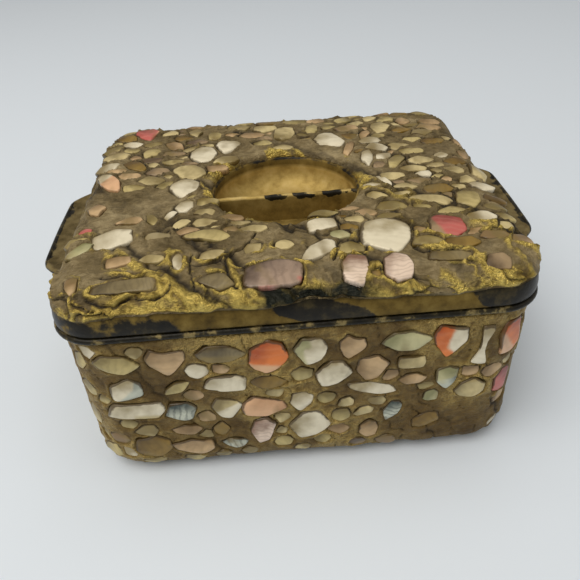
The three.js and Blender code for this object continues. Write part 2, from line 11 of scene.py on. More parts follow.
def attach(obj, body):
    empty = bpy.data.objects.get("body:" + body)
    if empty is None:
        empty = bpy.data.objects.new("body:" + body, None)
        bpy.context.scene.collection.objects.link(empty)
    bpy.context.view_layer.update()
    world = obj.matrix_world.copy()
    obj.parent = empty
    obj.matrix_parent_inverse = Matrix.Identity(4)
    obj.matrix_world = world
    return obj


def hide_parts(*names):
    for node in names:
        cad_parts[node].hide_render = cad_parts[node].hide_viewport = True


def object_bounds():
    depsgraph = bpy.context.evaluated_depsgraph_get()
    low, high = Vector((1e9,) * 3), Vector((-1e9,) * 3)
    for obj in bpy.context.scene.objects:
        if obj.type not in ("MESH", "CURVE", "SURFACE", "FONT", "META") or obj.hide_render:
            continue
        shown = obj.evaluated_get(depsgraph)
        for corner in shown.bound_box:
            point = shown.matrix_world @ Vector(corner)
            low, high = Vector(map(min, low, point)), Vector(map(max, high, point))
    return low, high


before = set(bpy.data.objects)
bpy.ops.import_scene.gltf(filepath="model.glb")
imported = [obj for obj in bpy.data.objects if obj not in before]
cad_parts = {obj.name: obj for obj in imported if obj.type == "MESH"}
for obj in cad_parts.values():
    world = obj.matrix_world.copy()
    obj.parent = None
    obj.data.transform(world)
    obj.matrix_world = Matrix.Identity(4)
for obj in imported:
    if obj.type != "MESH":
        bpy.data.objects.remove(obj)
cad_box = [list(corner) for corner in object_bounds()]

# The table, the light and the lens. The box stands on a pale matt sheet, lit softly from the
# upper left, and is seen from above through a lens of medium length.
MM = 0.001
LOOK_AT = Vector((-0.608, -4.547, 30)) * MM
LENS_AWAY = 242.356 * MM
YAW, PITCH, ROLL = (math.radians(degrees) for degrees in (-2.0464, 37.4, -3.1861))
FRAME_PIXELS = 580
FOCAL_PIXELS = 600
SHEET_WIDTH = 6.0
SHEET_COLOUR = "#dee8f5"
ROOM_COLOUR = "#eae6de"
ROOM_STRENGTH = 0.42
# name: place, aim, width, depth (metres), watts, colour
SOFT_BOXES = {
    "window": ((-0.55, -0.45, 1.15), (0.0, 0.0, 0.03), 1.0, 1.0, 10.6, "#fff8ec"),
    "ceiling": ((-0.05, 0.15, 1.40), (0.0, 0.0, 0.05), 1.1, 0.9, 3.8, "#fdf8ee"),
    "card": ((0.95, -0.35, 0.70), (0.0, 0.0, 0.03), 0.7, 0.7, 0.8, "#fdf8ee"),
}


def shade(code):
    """An sRGB hex colour as the linear one that a shader takes"""
    parts = [int(code[i:i + 2], 16) / 255 for i in (1, 3, 5)]
    linear = [c / 12.92 if c <= 0.04045 else ((c + 0.055) / 1.055) ** 2.4 for c in parts]
    return (*linear, 1.0)


def add(tree, kind, inputs=None, stops=None, **settings):
    """Adds one shader node, with its settings, its input values or links, and its ramp"""
    made = tree.nodes.new("ShaderNode" + kind)
    for key, value in settings.items():
        setattr(made, key, value)
    for key, value in (inputs or {}).items():
        if isinstance(value, bpy.types.NodeSocket):
            tree.links.new(value, made.inputs[key])
        else:
            made.inputs[key].default_value = value
    for i, (at, colour) in enumerate(stops or []):
        stop = made.color_ramp.elements[i] if i < 2 else made.color_ramp.elements.new(at)
        stop.position = at
        stop.color = colour
    return made


def new_material(name):
    """A named material with an empty node tree"""
    material = bpy.data.materials.new(name)
    material.use_nodes = True
    material.node_tree.nodes.clear()
    return material, material.node_tree


sheet_paper, tree = new_material("matt_paper_sheet")
grain = add(tree, "TexNoise", {"Scale": 900.0, "Detail": 2.0})
relief = add(tree, "Bump", {"Strength": 0.05, "Distance": 0.0002, "Height": grain.outputs["Fac"]})
paper = add(tree, "BsdfPrincipled", {"Base Color": shade(SHEET_COLOUR), "Roughness": 0.8,
                                     "Normal": relief.outputs["Normal"]})
add(tree, "OutputMaterial", {"Surface": paper.outputs["BSDF"]})
half = SHEET_WIDTH / 2
sheet_mesh = bpy.data.meshes.new("paper_sheet")
sheet_mesh.from_pydata([(-half, -half, 0), (half, -half, 0), (half, half, 0), (-half, half, 0)],
                       [], [(0, 1, 2, 3)])
sheet_mesh.materials.append(sheet_paper)
sheet = bpy.data.objects.new("paper_sheet", sheet_mesh)
bpy.context.collection.objects.link(sheet)

room = bpy.data.worlds.new("soft_room")
room.use_nodes = True
room.node_tree.nodes["Background"].inputs["Color"].default_value = shade(ROOM_COLOUR)
room.node_tree.nodes["Background"].inputs["Strength"].default_value = ROOM_STRENGTH
bpy.context.scene.world = room
bpy.context.scene.view_settings.view_transform = "Standard"
for name, (place, aim, width, depth, watts, colour) in SOFT_BOXES.items():
    lamp = bpy.data.lights.new(name, "AREA")
    lamp.shape = "RECTANGLE"
    lamp.size = width
    lamp.size_y = depth
    lamp.energy = watts
    lamp.color = shade(colour)[:3]
    stand = bpy.data.objects.new(name, lamp)
    stand.location = place
    stand.rotation_euler = (Vector(aim) - Vector(place)).to_track_quat("-Z", "Y").to_euler()
    bpy.context.collection.objects.link(stand)

back = Vector((math.sin(YAW) * math.cos(PITCH), -math.cos(YAW) * math.cos(PITCH), math.sin(PITCH)))
level = (-back).cross(Vector((0, 0, 1))).normalized()
upward = level.cross(-back)
right = level * math.cos(ROLL) + upward * math.sin(ROLL)
above = upward * math.cos(ROLL) - level * math.sin(ROLL)
lens = bpy.data.cameras.new("lens")
lens.sensor_width = 36.0
lens.lens = lens.sensor_width * FOCAL_PIXELS / FRAME_PIXELS
camera = bpy.data.objects.new("camera", lens)
camera.matrix_world = Matrix.Translation(LOOK_AT + back * LENS_AWAY) @ Matrix(
    (right, above, back)).transposed().to_4x4()
bpy.context.collection.objects.link(camera)
bpy.context.scene.camera = camera

# The tub: tinplate pressed in one piece, black enamelled inside and out, with a bead that the
# lid stands on, a collar inside the lid, and two flat ears whose edges are rolled under.
TIN = 0.6
LID_HALF_WIDTH = 74.6
LID_HALF_DEPTH = 64.3
LID_CORNER = 15
SLIM = LID_HALF_WIDTH - LID_HALF_DEPTH
GAP_HEIGHT = 63.1
TUB_REACH = 70
TUB_SLIM = 9
TUB_CORNER = 16
FOOT_RADIUS = 7
BEAD_REACH = 75
BEAD_TOP = GAP_HEIGHT - 0.2
BEAD_BOTTOM = BEAD_TOP - 2.1
COLLAR_REACH = 73.1
COLLAR_TOP = 67.6
RIM_CORNER = 15
EAR_ROOT = 74.2
EAR_THICKNESS = 1.3
EAR_ROLL = 1.25
EAR_HALF_LENGTH = 31


def ring(half_x, half_y, corner, angles):
    """Where rays from the middle meet a rounded rectangle; sizes may vary from ray to ray"""
    c, s = np.abs(np.cos(angles)), np.abs(np.sin(angles))
    corner = np.clip(corner, 0.01, np.minimum(half_x, half_y))
    flat_x, flat_y = half_x - corner, half_y - corner
    to_side = half_x / np.maximum(c, 1e-9)
    to_end = half_y / np.maximum(s, 1e-9)
    along = flat_x * c + flat_y * s
    to_arc = along + np.sqrt(np.maximum(along**2 - flat_x**2 - flat_y**2 + corner**2, 0))
    away = np.where(to_side * s <= flat_y, to_side, np.where(to_end * c <= flat_x, to_end, to_arc))
    return away * np.cos(angles), away * np.sin(angles)


def spread(spacing_front, spacing_back):
    """Ray angles that are spacing apart round the box, closer at the front than at the back"""
    dense = np.linspace(0, 2 * np.pi, 20001)
    x, y = ring(LID_HALF_WIDTH, LID_HALF_DEPTH, LID_CORNER, dense)
    front = np.clip((-y[:-1] - 20) / 30, 0, 1)
    spacing = spacing_back + (spacing_front - spacing_back) * front
    passed = np.concatenate([[0], np.cumsum(np.hypot(np.diff(x), np.diff(y)) / spacing)])
    return np.interp(np.linspace(0, passed[-1], int(passed[-1]) + 1)[:-1], passed, dense)


def make_piece(name, points, faces, material, fields=None):
    """A mesh object from points in mm, with smooth faces and its named fields of numbers"""
    mesh = bpy.data.meshes.new(name)
    mesh.from_pydata((np.asarray(points) * MM).tolist(), [], faces)
    mesh.polygons.foreach_set("use_smooth", np.ones(len(mesh.polygons), bool))
    for field, values in (fields or {}).items():
        kind, key = ("FLOAT", "value") if np.ndim(values) == 1 else ("FLOAT_VECTOR", "vector")
        made = mesh.attributes.new(field, kind, "POINT")
        made.data.foreach_set(key, np.asarray(values, np.float32).ravel())
    mesh.materials.append(material)
    mesh.update()
    piece = bpy.data.objects.new(name, mesh)
    bpy.context.collection.objects.link(piece)
    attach(piece, "root")
    return piece


def net(rows, columns, closed):
    """Faces between rows of a closed loop of columns; closed joins the last row to the first"""
    i = np.arange(rows if closed else rows - 1)[:, None] * columns
    j = np.arange(columns)[None]
    k = (j + 1) % columns
    up = (i + columns) % (rows * columns)
    faces = np.stack([i + j, i + k, up + k, up + j], axis=2).reshape(-1, 4).tolist()
    if not closed:
        faces.append(list(range(columns))[::-1])
        faces.append([(rows - 1) * columns + j for j in range(columns)])
    return faces


def quarter(reach, z, radius, start, stop, steps):
    """Points of an arc in a profile, as reach and height"""
    turns = np.radians(np.linspace(start, stop, steps + 1))
    return [(reach + radius * math.cos(t), z + radius * math.sin(t)) for t in turns]


def pressed(profile, full_reach, full_corner, angles):
    """Rows of points of a sheet pressed over a profile of reach, height, slim and corner"""
    rows = []
    for reach, z, *own in profile:
        slim, corner = own if own else (SLIM, reach - full_reach + full_corner)
        x, y = ring(reach, max(reach - slim, 0.2), max(corner, 0.1), angles)
        rows.append(np.stack([x, y, np.full_like(x, z)], axis=1))
    return np.array(rows)


def as_wall(point):
    """A profile point of the tub's wall, which is nearer square than its rim"""
    return (*point, TUB_SLIM, TUB_CORNER - TUB_REACH + point[0])


def ear(side):
    """One ear as a closed sweep: a flat plate whose outer edge is rolled round"""
    top = BEAD_TOP - 0.4
    corners = np.array([(EAR_ROOT + 1.4, -30.4), (78.4, -27.6), (81.6, -24.6), (84.0, -21.8), (84.95, -19),
                        (84.95, 0), (84.95, 19), (84.0, 21.8), (81.6, 24.6), (78.4, 27.6),
                        (EAR_ROOT + 1.4, 30.4)])
    marks = np.linspace(0, 1, len(corners))
    steps = np.linspace(0, 1, 81)
    edge = np.stack([np.interp(steps, marks, corners[:, 0]), np.interp(steps, marks, corners[:, 1])], axis=1)
    for _ in range(4):
        edge[1:-1] = (edge[:-2] + 2 * edge[1:-1] + edge[2:]) / 4
    root = np.stack([np.full(81, EAR_ROOT), np.linspace(-EAR_HALF_LENGTH, EAR_HALF_LENGTH, 81)], axis=1)
    roll = [(EAR_ROLL * math.sin(t), EAR_ROLL * math.cos(t)) for t in np.radians(np.linspace(-52, 232, 15))]
    rows = []
    for start, end in zip(root, edge):
        away = (end - start) / np.linalg.norm(end - start)
        flat = [(start, top), (start * 0.45 + end * 0.55, top - 0.1)]
        curl = [(end + away * (across - 0.1), top - EAR_ROLL + 0.45 + rise) for across, rise in roll]
        under = [(start, top - EAR_THICKNESS)]
        rows.append([(side * spot[0], spot[1], z) for spot, z in flat + curl + under])
    columns = len(rows[0])
    faces = net(len(rows), columns, False)
    return np.array(rows).reshape(-1, 3), [face[::-1] for face in faces] if side > 0 else faces


# Enamelled tinplate: a thin black glaze with a green cast, mirror-like where it is clean. The
# gold wash that ran over it has worn to olive smears, so gloss and dull gold lie side by side.
def enamel_material():
    material, tree = new_material("worn_black_enamel")
    where = add(tree, "TexCoord")
    wash_and_shade_field = add(tree, "Attribute", attribute_name="wash_and_shade")
    blots = add(tree, "TexNoise", {"Vector": where.outputs["Object"], "Scale": 190.0, "Detail": 5.0,
                                   "Roughness": 0.62})
    fine = add(tree, "TexNoise", {"Vector": where.outputs["Object"], "Scale": 1400.0, "Detail": 2.0})
    worn = add(tree, "Math", {0: wash_and_shade_field.outputs["Fac"], 1: blots.outputs["Fac"]}, operation="ADD")
    cover = add(tree, "ValToRGB", {"Fac": worn.outputs[0]},
                stops=[(0.93, (0, 0, 0, 1)), (1.06, (1, 1, 1, 1))])
    glaze = add(tree, "ValToRGB", {"Fac": blots.outputs["Fac"]},
                stops=[(0.32, shade("#0c0a06")), (0.5, shade("#1d1a10")), (0.72, shade("#4a4228"))])
    gold = add(tree, "ValToRGB", {"Fac": blots.outputs["Fac"]},
               stops=[(0.3, shade("#4b3f1f")), (0.5, shade("#746542")), (0.75, shade("#8d7f56"))])
    colour = add(tree, "Mix", {0: cover.outputs["Color"], 6: glaze.outputs["Color"],
                               7: gold.outputs["Color"]}, data_type="RGBA")
    metal = add(tree, "Math", {0: cover.outputs["Color"], 1: 0.45}, operation="MULTIPLY")
    rough = add(tree, "MapRange", {"Value": cover.outputs["Color"], "To Min": 0.36, "To Max": 0.55})
    height = add(tree, "Math", {0: blots.outputs["Fac"], 1: fine.outputs["Fac"]}, operation="ADD")
    relief = add(tree, "Bump", {"Strength": 0.35, "Distance": 0.0004, "Height": height.outputs[0]})
    surface = add(tree, "BsdfPrincipled", {
        "Base Color": colour.outputs[2], "Metallic": metal.outputs[0], "Roughness": rough.outputs[0],
        "Specular IOR Level": 0.22, "Normal": relief.outputs["Normal"]})
    add(tree, "OutputMaterial", {"Surface": surface.outputs["BSDF"]})
    return material


enamel = enamel_material()
tin_angles = spread(2.2, 2.2)
inner = TUB_REACH - TIN
bead_middle = (BEAD_TOP + BEAD_BOTTOM) / 2
foot_reach = TUB_REACH - FOOT_RADIUS
tub_profile = [
    *[as_wall(p) for p in quarter(foot_reach, FOOT_RADIUS, FOOT_RADIUS, -90, 0, 8)],
    as_wall((TUB_REACH, BEAD_BOTTOM)),
    (BEAD_REACH - 0.9, BEAD_BOTTOM),
    *quarter(BEAD_REACH - 1.05, bead_middle, 1.05, -78, 78, 8),
    (COLLAR_REACH, BEAD_TOP),
    (COLLAR_REACH, COLLAR_TOP),
    (COLLAR_REACH - TIN, COLLAR_TOP),
    (COLLAR_REACH - TIN, bead_middle),
    as_wall((inner, BEAD_BOTTOM)),
    *[as_wall(p) for p in quarter(foot_reach, FOOT_RADIUS, FOOT_RADIUS - TIN, 0, -90, 8)],
]
tub_rows = pressed(tub_profile, BEAD_REACH, RIM_CORNER, tin_angles)
tub_points = tub_rows.reshape(-1, 3)
tub_faces = net(len(tub_rows), len(tin_angles), False)
for side in (-1, 1):
    ear_points, ear_faces = ear(side)
    tub_faces += [[corner + len(tub_points) for corner in face] for face in ear_faces]
    tub_points = np.concatenate([tub_points, ear_points])
# The wash lies on the ears' flat tops and thins out over their rolls and along the bead
EAR_WASH, BEAD_WASH, WALL_WASH = 0.85, 0.36, 0.1
reach, height = np.abs(tub_points[:, 0]), tub_points[:, 2]
flat_ear = (reach > 75.2) & (reach < 84) & (height > BEAD_TOP - 0.7)
tub_wash = np.where(flat_ear, EAR_WASH, np.where(height > BEAD_BOTTOM - 0.5, BEAD_WASH, WALL_WASH))
tub_piece = make_piece("enamelled_tub", tub_points, tub_faces, enamel, {"wash_and_shade": tub_wash})
tub_piece.data.set_sharp_from_angle(angle=math.radians(50))
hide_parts("tin_tub")

# The chips: pieces of shell and pebble, broken with pliers, tumbled until their edges were
# soft, and pressed into the putty with the best face out. Each is a thick flat flake.
CHIP_DEPTH = 1.8
SPREAD_OUT = 1.12
EDGE_POINTS = 56
WALL_TOP = 60.5
WALL_CORNER = 18.5
COAT_FOOT = 9.5
FAR = 5.0

# Broken outlines, one unit long and one wide, the long way along X
outlines = {
    "almond": [(-0.5, 0), (-0.2, -0.42), (0.2, -0.48), (0.5, -0.02), (0.15, 0.46), (-0.25, 0.4)],
    "wedge": [(-0.5, 0.05), (-0.38, -0.3), (0.3, -0.5), (0.5, -0.1), (0.4, 0.42), (-0.05, 0.5)],
    "slab": [(-0.5, -0.3), (-0.1, -0.5), (0.42, -0.42), (0.5, 0.25), (0.2, 0.5), (-0.4, 0.42)],
    "bar": [(-0.5, -0.4), (0.38, -0.5), (0.5, 0.1), (0.42, 0.5), (-0.44, 0.42)],
    "drop": [(-0.5, -0.05), (-0.15, -0.42), (0.3, -0.5), (0.5, -0.1), (0.38, 0.4), (-0.1, 0.5)],
    "heart": [(-0.5, -0.05), (0.15, -0.5), (0.46, -0.38), (0.42, 0), (0.5, 0.34), (0.2, 0.5), (-0.1, 0.36)],
    "pebble": [(-0.5, 0), (-0.36, -0.38), (0.05, -0.5), (0.42, -0.3), (0.5, 0.1), (0.2, 0.48), (-0.3, 0.42)],
    "waist": [(-0.5, -0.5), (-0.1, -0.12), (0.14, -0.16), (0.5, -0.42), (0.46, 0.3), (0.1, 0.12),
              (-0.12, 0.16), (-0.48, 0.5)],
    "sliver": [(-0.5, -0.2), (0.1, -0.5), (0.5, 0), (0.1, 0.5), (-0.3, 0.3)],
}


def lumps(points, size, seed):
    """Smooth noise from -1 to 1 whose lumps are about size mm across"""
    place = np.asarray(points) / size + seed * np.array([17.31, 5.77, 11.13])
    cell = np.floor(place).astype(np.int64)
    part = place - cell
    soft = part * part * (3 - 2 * part)
    total = np.zeros(len(place))
    for corner in itertools.product((0, 1), repeat=3):
        spot = (cell + corner) @ np.array([73856093, 19349663, 83492791])
        value = ((spot * 2654435761 >> 13) & 0xFFFF) / 32767.5 - 1
        total += value * np.prod(np.where(corner, soft, 1 - soft), axis=1)
    return total


def worn_edge(corners, seed):
    """A flake's outline from its corners: each corner worn off a little, the edge nibbled"""
    shape = corners
    for worn in (0.09, 0.22):
        ahead = np.roll(shape, -1, axis=0)
        shape = np.stack([(1 - worn) * shape + worn * ahead, worn * shape + (1 - worn) * ahead],
                         axis=1).reshape(-1, 2)
    loop = np.concatenate([shape, shape[:1]])
    walked = np.concatenate([[0], np.cumsum(np.linalg.norm(np.diff(loop, axis=0), axis=1))])
    even = np.linspace(0, walked[-1], EDGE_POINTS, endpoint=False)
    shape = np.stack([np.interp(even, walked, loop[:, 0]), np.interp(even, walked, loop[:, 1])], axis=1)
    deep = np.concatenate([shape, np.zeros((EDGE_POINTS, 1))], axis=1)
    bites = 0.05 * lumps(deep, 3.2, seed) + 0.025 * lumps(deep, 1.3, seed + 40)
    return shape * (1 + bites[:, None])


def broken_outline(kind, length, width, seed):
    """The outline of a chip of one family, its corners jogged; the visible face spreads a little"""
    corners = np.array(outlines[kind]) * (length * SPREAD_OUT, width * SPREAD_OUT)
    return worn_edge(corners * (1 + np.random.default_rng(seed).uniform(-0.1, 0.1, corners.shape)), seed)


def wall_halves(z):
    """Half width and half depth of the coat on the wall at a height"""
    up = z / WALL_TOP
    below = np.maximum(COAT_FOOT - z, 0)
    tuck = COAT_FOOT - np.sqrt(COAT_FOOT**2 - below**2)
    return 73 + up - tuck, 64.7 - 0.5 * up - tuck


def on_wall(along, z):
    """Spot and axes on the wall's coat; along runs from the middle of the front to the right"""
    half_x, half_y = wall_halves(z)
    flat_x, flat_y = half_x - WALL_CORNER, half_y - WALL_CORNER
    bend = WALL_CORNER * math.pi / 2
    runs = [2 * flat_x, bend, 2 * flat_y, bend] * 2
    starts = [(-flat_x, -half_y), (flat_x, -flat_y), (half_x, -flat_y), (flat_x, flat_y),
              (flat_x, half_y), (-flat_x, flat_y), (-half_x, flat_y), (-flat_x, -flat_y)]
    rest = (along + flat_x) % sum(runs)
    run = 0
    while rest > runs[run]:
        rest -= runs[run]
        run += 1
    heading = run // 2 * math.pi / 2 + (rest / WALL_CORNER if run % 2 else 0)
    ahead = np.array([math.cos(heading), math.sin(heading), 0])
    out = np.array([ahead[1], -ahead[0], 0])
    spot = np.array([*starts[run], z]) + (out * WALL_CORNER if run % 2 else ahead * rest)
    lean = math.asin((COAT_FOOT - z) / COAT_FOOT) if z < COAT_FOOT else 0
    normal = out * math.cos(lean) + np.array([0, 0, -math.sin(lean)])
    return spot, np.stack([ahead, np.cross(normal, ahead), normal], axis=1)


def set_in(name, stone, at, place, outline, turn, seed, proud, film):
    """One chip: its outline, its place in the plan of the coat, and its spot and axes in space"""
    spot, axes = place(*at)
    t = math.radians(turn)
    spin = np.array([[math.cos(t), -math.sin(t), 0], [math.sin(t), math.cos(t), 0], [0, 0, 1]])
    return {"name": name, "stone": stone, "at": np.array(at), "plan": at + outline @ spin[:2, :2].T,
            "spot": spot, "up": axes[:, 1], "axes": axes @ spin, "outline": outline, "turn": turn,
            "seed": seed, "proud": proud, "film": film,
            "reach": np.linalg.norm(outline, axis=1).max()}


def set_named(table, place, first_seed, proud, film):
    """The chips of a table that each have a node of their own"""
    return [set_in(name, stone, at, place, broken_outline(kind, length, width, first_seed + i), turn,
                   first_seed + i, proud, film)
            for i, (name, stone, *at, length, width, turn, kind) in enumerate(table)]


def set_small(table, place, first_seed, proud, film):
    """The smaller chips of a table, with the outlines of the small kinds in turn"""
    return [set_in(f"small_{i}", stone, at, place,
                   broken_outline(SMALL_KINDS[i % 5], length, width, first_seed + i), turn,
                   first_seed + i, proud, film)
            for i, (stone, *at, length, width, turn) in enumerate(table)]


# Chips that show best: name, stone, way round, height, length, width, turn, outline
wall_table = [
    ("almond_olive", "olive", -56.5, 52.7, 13.5, 6.8, -8, "almond"),
    ("heart_beige", "beige", -41.5, 51.5, 10.5, 12.5, 85, "heart"),
    ("crescent_grey", "grey", -25, 53.6, 15.5, 7, -4, "almond"),
    ("heart_coral", "coral", -10.5, 51.1, 11.6, 11.4, 80, "pebble"),
    ("slab_white_blue", "white", -55, 41.4, 9.6, 8, 10, "slab"),
    ("wedge_olive", "olive", -40, 40.8, 9, 4.4, 25, "sliver"),
    ("bar_white", "white", -24.5, 41.2, 13.4, 6, -2, "slab"),
    ("almond_ochre", "ochre", -10.7, 40.4, 12, 5.4, -3, "almond"),
    ("bar_long", "white", -54.1, 32, 15.8, 6.6, -6, "bar"),
    ("slab_blue", "blue", -40.1, 29.9, 8.6, 7.6, -8, "slab"),
    ("wedge_cream", "cream", -25.5, 29.9, 9, 9, 75, "wedge"),
    ("wedge_salmon", "salmon", -12.7, 29.2, 13.6, 8.6, 172, "wedge"),
    ("wedge_pink", "beige", -38.5, 12.6, 13, 6.6, -12, "wedge"),
    ("lump_ochre", "ochre", -51.5, 14.4, 11.6, 10, 12, "pebble"),
    ("triangle_clear", "pearl", -14.1, 17.6, 11.4, 7.8, 80, "wedge"),
    ("drop_white", "white", 2.5, 51.5, 10.6, 9.4, 70, "drop"),
    ("wedge_beige", "beige", 15, 51.8, 9, 8, 75, "heart"),
    ("almond_green", "green", 32, 53, 15, 7.8, 4, "almond"),
    ("heart_coral_white", "coral", 45.3, 50.8, 12.2, 10.6, 82, "heart"),
    ("waist_white", "white", 55.9, 48.4, 15.6, 5.2, 86, "waist"),
    ("corner_coral", "coral", 66, 49, 14, 8.6, 96, "slab"),
    ("wedge_rose", "beige", 21.1, 42.4, 10.2, 9.6, 80, "wedge"),
    ("slab_white", "white", 9.1, 41.7, 11, 8.4, 35, "slab"),
    ("bar_cream", "cream", 34.1, 43.7, 8.2, 4.8, -4, "bar"),
    ("wedge_long", "white", 21.1, 34.2, 15, 4.8, -15, "wedge"),
    ("almond_beige", "beige", 34.7, 36.5, 9, 4.6, 2, "almond"),
    ("pebble_green", "green", 45.9, 35.8, 10, 6.8, 92, "drop"),
    ("pebble_cream", "cream", 54.3, 30.2, 9.2, 8, 8, "pebble"),
    ("corner_pink", "crimson", 66.4, 29.6, 11.4, 7, 88, "pebble"),
    ("pebble_white", "white", -1.1, 30.4, 8.8, 6.8, 84, "drop"),
    ("sliver_blue", "blue", 28.9, 22.8, 9.4, 5.2, 68, "drop"),
    ("slab_big", "white", 0.9, 18.6, 12, 11, 40, "slab"),
]
# Smaller ones, half buried: stone, way round, height, length, width, turn
wall_small = [
    ("olive", -69.5, 51.2, 8, 5, 70), ("olive", -69.5, 39.2, 7, 6, 100), ("cream", -71.5, 25.2, 9, 6, 80),
    ("cream", -52.5, 22.2, 7.4, 5.2, 0), ("beige", -39.5, 21.2, 9, 4.4, 0), ("ochre", -28.1, 19.6, 7, 6, 80),
    ("blue", -23.9, 12.8, 8, 3.8, -6), ("green", 41.5, 27.8, 5, 5, 0), ("cream", 13.3, 27.8, 5.6, 4.4, 20),
    ("cream", 19.3, 23, 7, 3.8, 24), ("beige", 11.1, 15.8, 7.6, 5, -6), ("beige", 21.5, 13.8, 8, 6.6, 82),
    ("ochre", 40.5, 16.2, 9, 6, 20), ("cream", 74.5, 41.2, 8, 6, 60), ("olive", -67.5, 10.2, 9, 6, 20),
]
# Round the sides and the back the chips follow rows at even steps
BACK_ROWS = (14, 31, 48)
BACK_FROM, BACK_TO, BACK_STEP = 86, 430, 18.8
COMMON_STONES = ("cream", "beige", "olive", "cream", "white", "olive", "dusk", "cream", "beige",
                 "ochre", "olive")
SMALL_KINDS = ("sliver", "pebble", "slab", "drop", "wedge")

wall_chips = set_named(wall_table, on_wall, 1, proud=-0.1, film=-0.75)
buried = set_small(wall_small, on_wall, 60, proud=-0.25, film=-0.45)
for row, height in enumerate(BACK_ROWS):
    steps = int((BACK_TO - BACK_FROM) / BACK_STEP - row % 2 / 2) + 1
    for i in range(steps):
        a = BACK_FROM + (i + row % 2 / 2) * BACK_STEP + 2 * math.sin(i * 2.3 + row)
        z = height + 2 * math.cos(i * 1.7 + 2 * row)
        length = 9.8 + 2.6 * math.sin(i * 3.1 + row * 1.3)
        width = 7 + 1.4 * math.cos(i * 2.7 + row)
        turn = 60 * math.sin(i * 1.9 + row * 2.1)
        seed = 100 + row * 40 + i
        outline = broken_outline(SMALL_KINDS[seed % 5], length, width, seed)
        buried.append(set_in(f"side_{row}_{i}", COMMON_STONES[seed * 7 % 11], (a, z), on_wall, outline,
                             turn, seed, proud=-0.3, film=-0.5))


def inside_by(points, outline):
    """How far inside the outline each point lies, negative outside it"""
    start, end = outline, np.roll(outline, -1, axis=0)
    edge = end - start
    from_start = points[:, None] - start[None]
    share = np.clip((from_start * edge).sum(2) / (edge**2).sum(1), 0, 1)
    away = np.linalg.norm(from_start - share[..., None] * edge, axis=2).min(1)
    above_start = start[None, :, 1] > points[:, None, 1]
    above_end = end[None, :, 1] > points[:, None, 1]
    slope = edge[:, 0] / np.where(np.abs(edge[:, 1]) < 1e-9, 1e-9, edge[:, 1])
    to_right = points[:, None, 0] < start[:, 0] + (points[:, None, 1] - start[:, 1]) * slope
    crossed = ((above_start != above_end) & to_right).sum(1) % 2 == 1
    return np.where(crossed, away, -away)


def edge_gap(spots, chips):
    """How far spots of the plan lie from the nearest chip's edge, negative inside one"""
    gap = np.full(len(spots), FAR)
    for chip in chips:
        near = np.flatnonzero(np.linalg.norm(spots - chip["at"], axis=1) < chip["reach"] + FAR)
        if len(near):
            gap[near] = np.minimum(gap[near], -inside_by(spots[near], chip["plan"]))
    return gap


def fit_between(chips, place, low, high, room, smallest, widest, stretch, share, seed, proud, film,
                allowed):
    """Bits pushed in between the chips, the widest gap first, each as large as its gap lets it be"""
    rng = np.random.default_rng(seed)
    spots = rng.uniform(low, high, (4000, 2))
    spots = spots[[allowed(*spot) for spot in spots]]
    gaps = edge_gap(spots, chips)
    fitted = []
    while gaps.max() > smallest:
        at = spots[gaps.argmax()]
        ways = (np.arange(8) + rng.uniform(-0.35, 0.35, 8)) * math.pi / 4
        heading = np.stack([stretch * np.cos(ways), np.sin(ways)], axis=1)
        steps = np.linspace(0.2, 1, 14) * min(rng.uniform(0.7, 1) * widest, 2.6 * gaps.max())
        near = [c for c in chips + fitted if np.linalg.norm(c["at"] - at) < c["reach"] + widest + 1]
        free = edge_gap((at + steps[:, None, None] * heading).reshape(-1, 2), near).reshape(14, 8) > room
        reach = steps[np.where(free.all(0), 13, np.maximum(free.argmin(0) - 1, 0))]
        reach = np.minimum(reach, 0.72 * (np.roll(reach, 1) + np.roll(reach, -1)))
        chip = set_in(f"bit_{len(fitted)}", COMMON_STONES[rng.integers(11)], at, place,
                      worn_edge(heading * reach[:, None], seed + len(fitted)), 0, seed + len(fitted),
                      proud + rng.uniform(-0.15, 0.1), film)
        gaps = np.minimum(gaps, edge_gap(spots, [chip]))
        if rng.uniform() < share:
            fitted.append(chip)
    return fitted


def not_bare_corner(along, z):
    """False in the lower right of the front, where the putty is bare"""
    return not (28 < along < 66 and z < 27)


# First the front, then the right end, the back and the left end
buried += fit_between(wall_chips + buried, on_wall, (-86, 6), (86, 57), room=0.8, smallest=2.3,
                      widest=3.4, stretch=1.3, share=0.5, seed=1000, proud=-0.4, film=-0.1,
                      allowed=not_bare_corner)
buried += fit_between(wall_chips + buried, on_wall, (86, 6), (430, 57), room=0.8, smallest=2.4,
                      widest=4.2, stretch=1.3, share=0.75, seed=5000, proud=-0.3, film=-0.35,
                      allowed=not_bare_corner)

# The coat on the wall: putty trowelled on about 4 mm thick, smoothed round each chip with a
# wet finger, then washed over with thin gold paint. Its creases are painted dark as painted shade.
WALL_LIP = 0.42
WALL_CREASE = 0.75


def press(surface, chips):
    """How far each point lies from the nearest chip, negative inside it, from the next, how far over"""
    nearest, second = np.full(len(surface), FAR), np.full(len(surface), FAR)
    over = np.zeros(len(surface))
    for chip in chips:
        away = surface - chip["spot"]
        near = np.flatnonzero((away**2).sum(1) < (chip["reach"] + FAR) ** 2)
        if len(near) == 0:
            continue
        outside = -inside_by(away[near] @ chip["axes"][:, :2], chip["outline"])
        closer = outside < nearest[near]
        second[near] = np.where(closer, nearest[near], np.minimum(second[near], outside))
        nearest[near] = np.where(closer, outside, nearest[near])
        rise = away[near] @ chip["up"] / (np.linalg.norm(away[near], axis=1) + 0.1)
        over[near] = np.where(closer, rise, over[near])
    return nearest, second, over


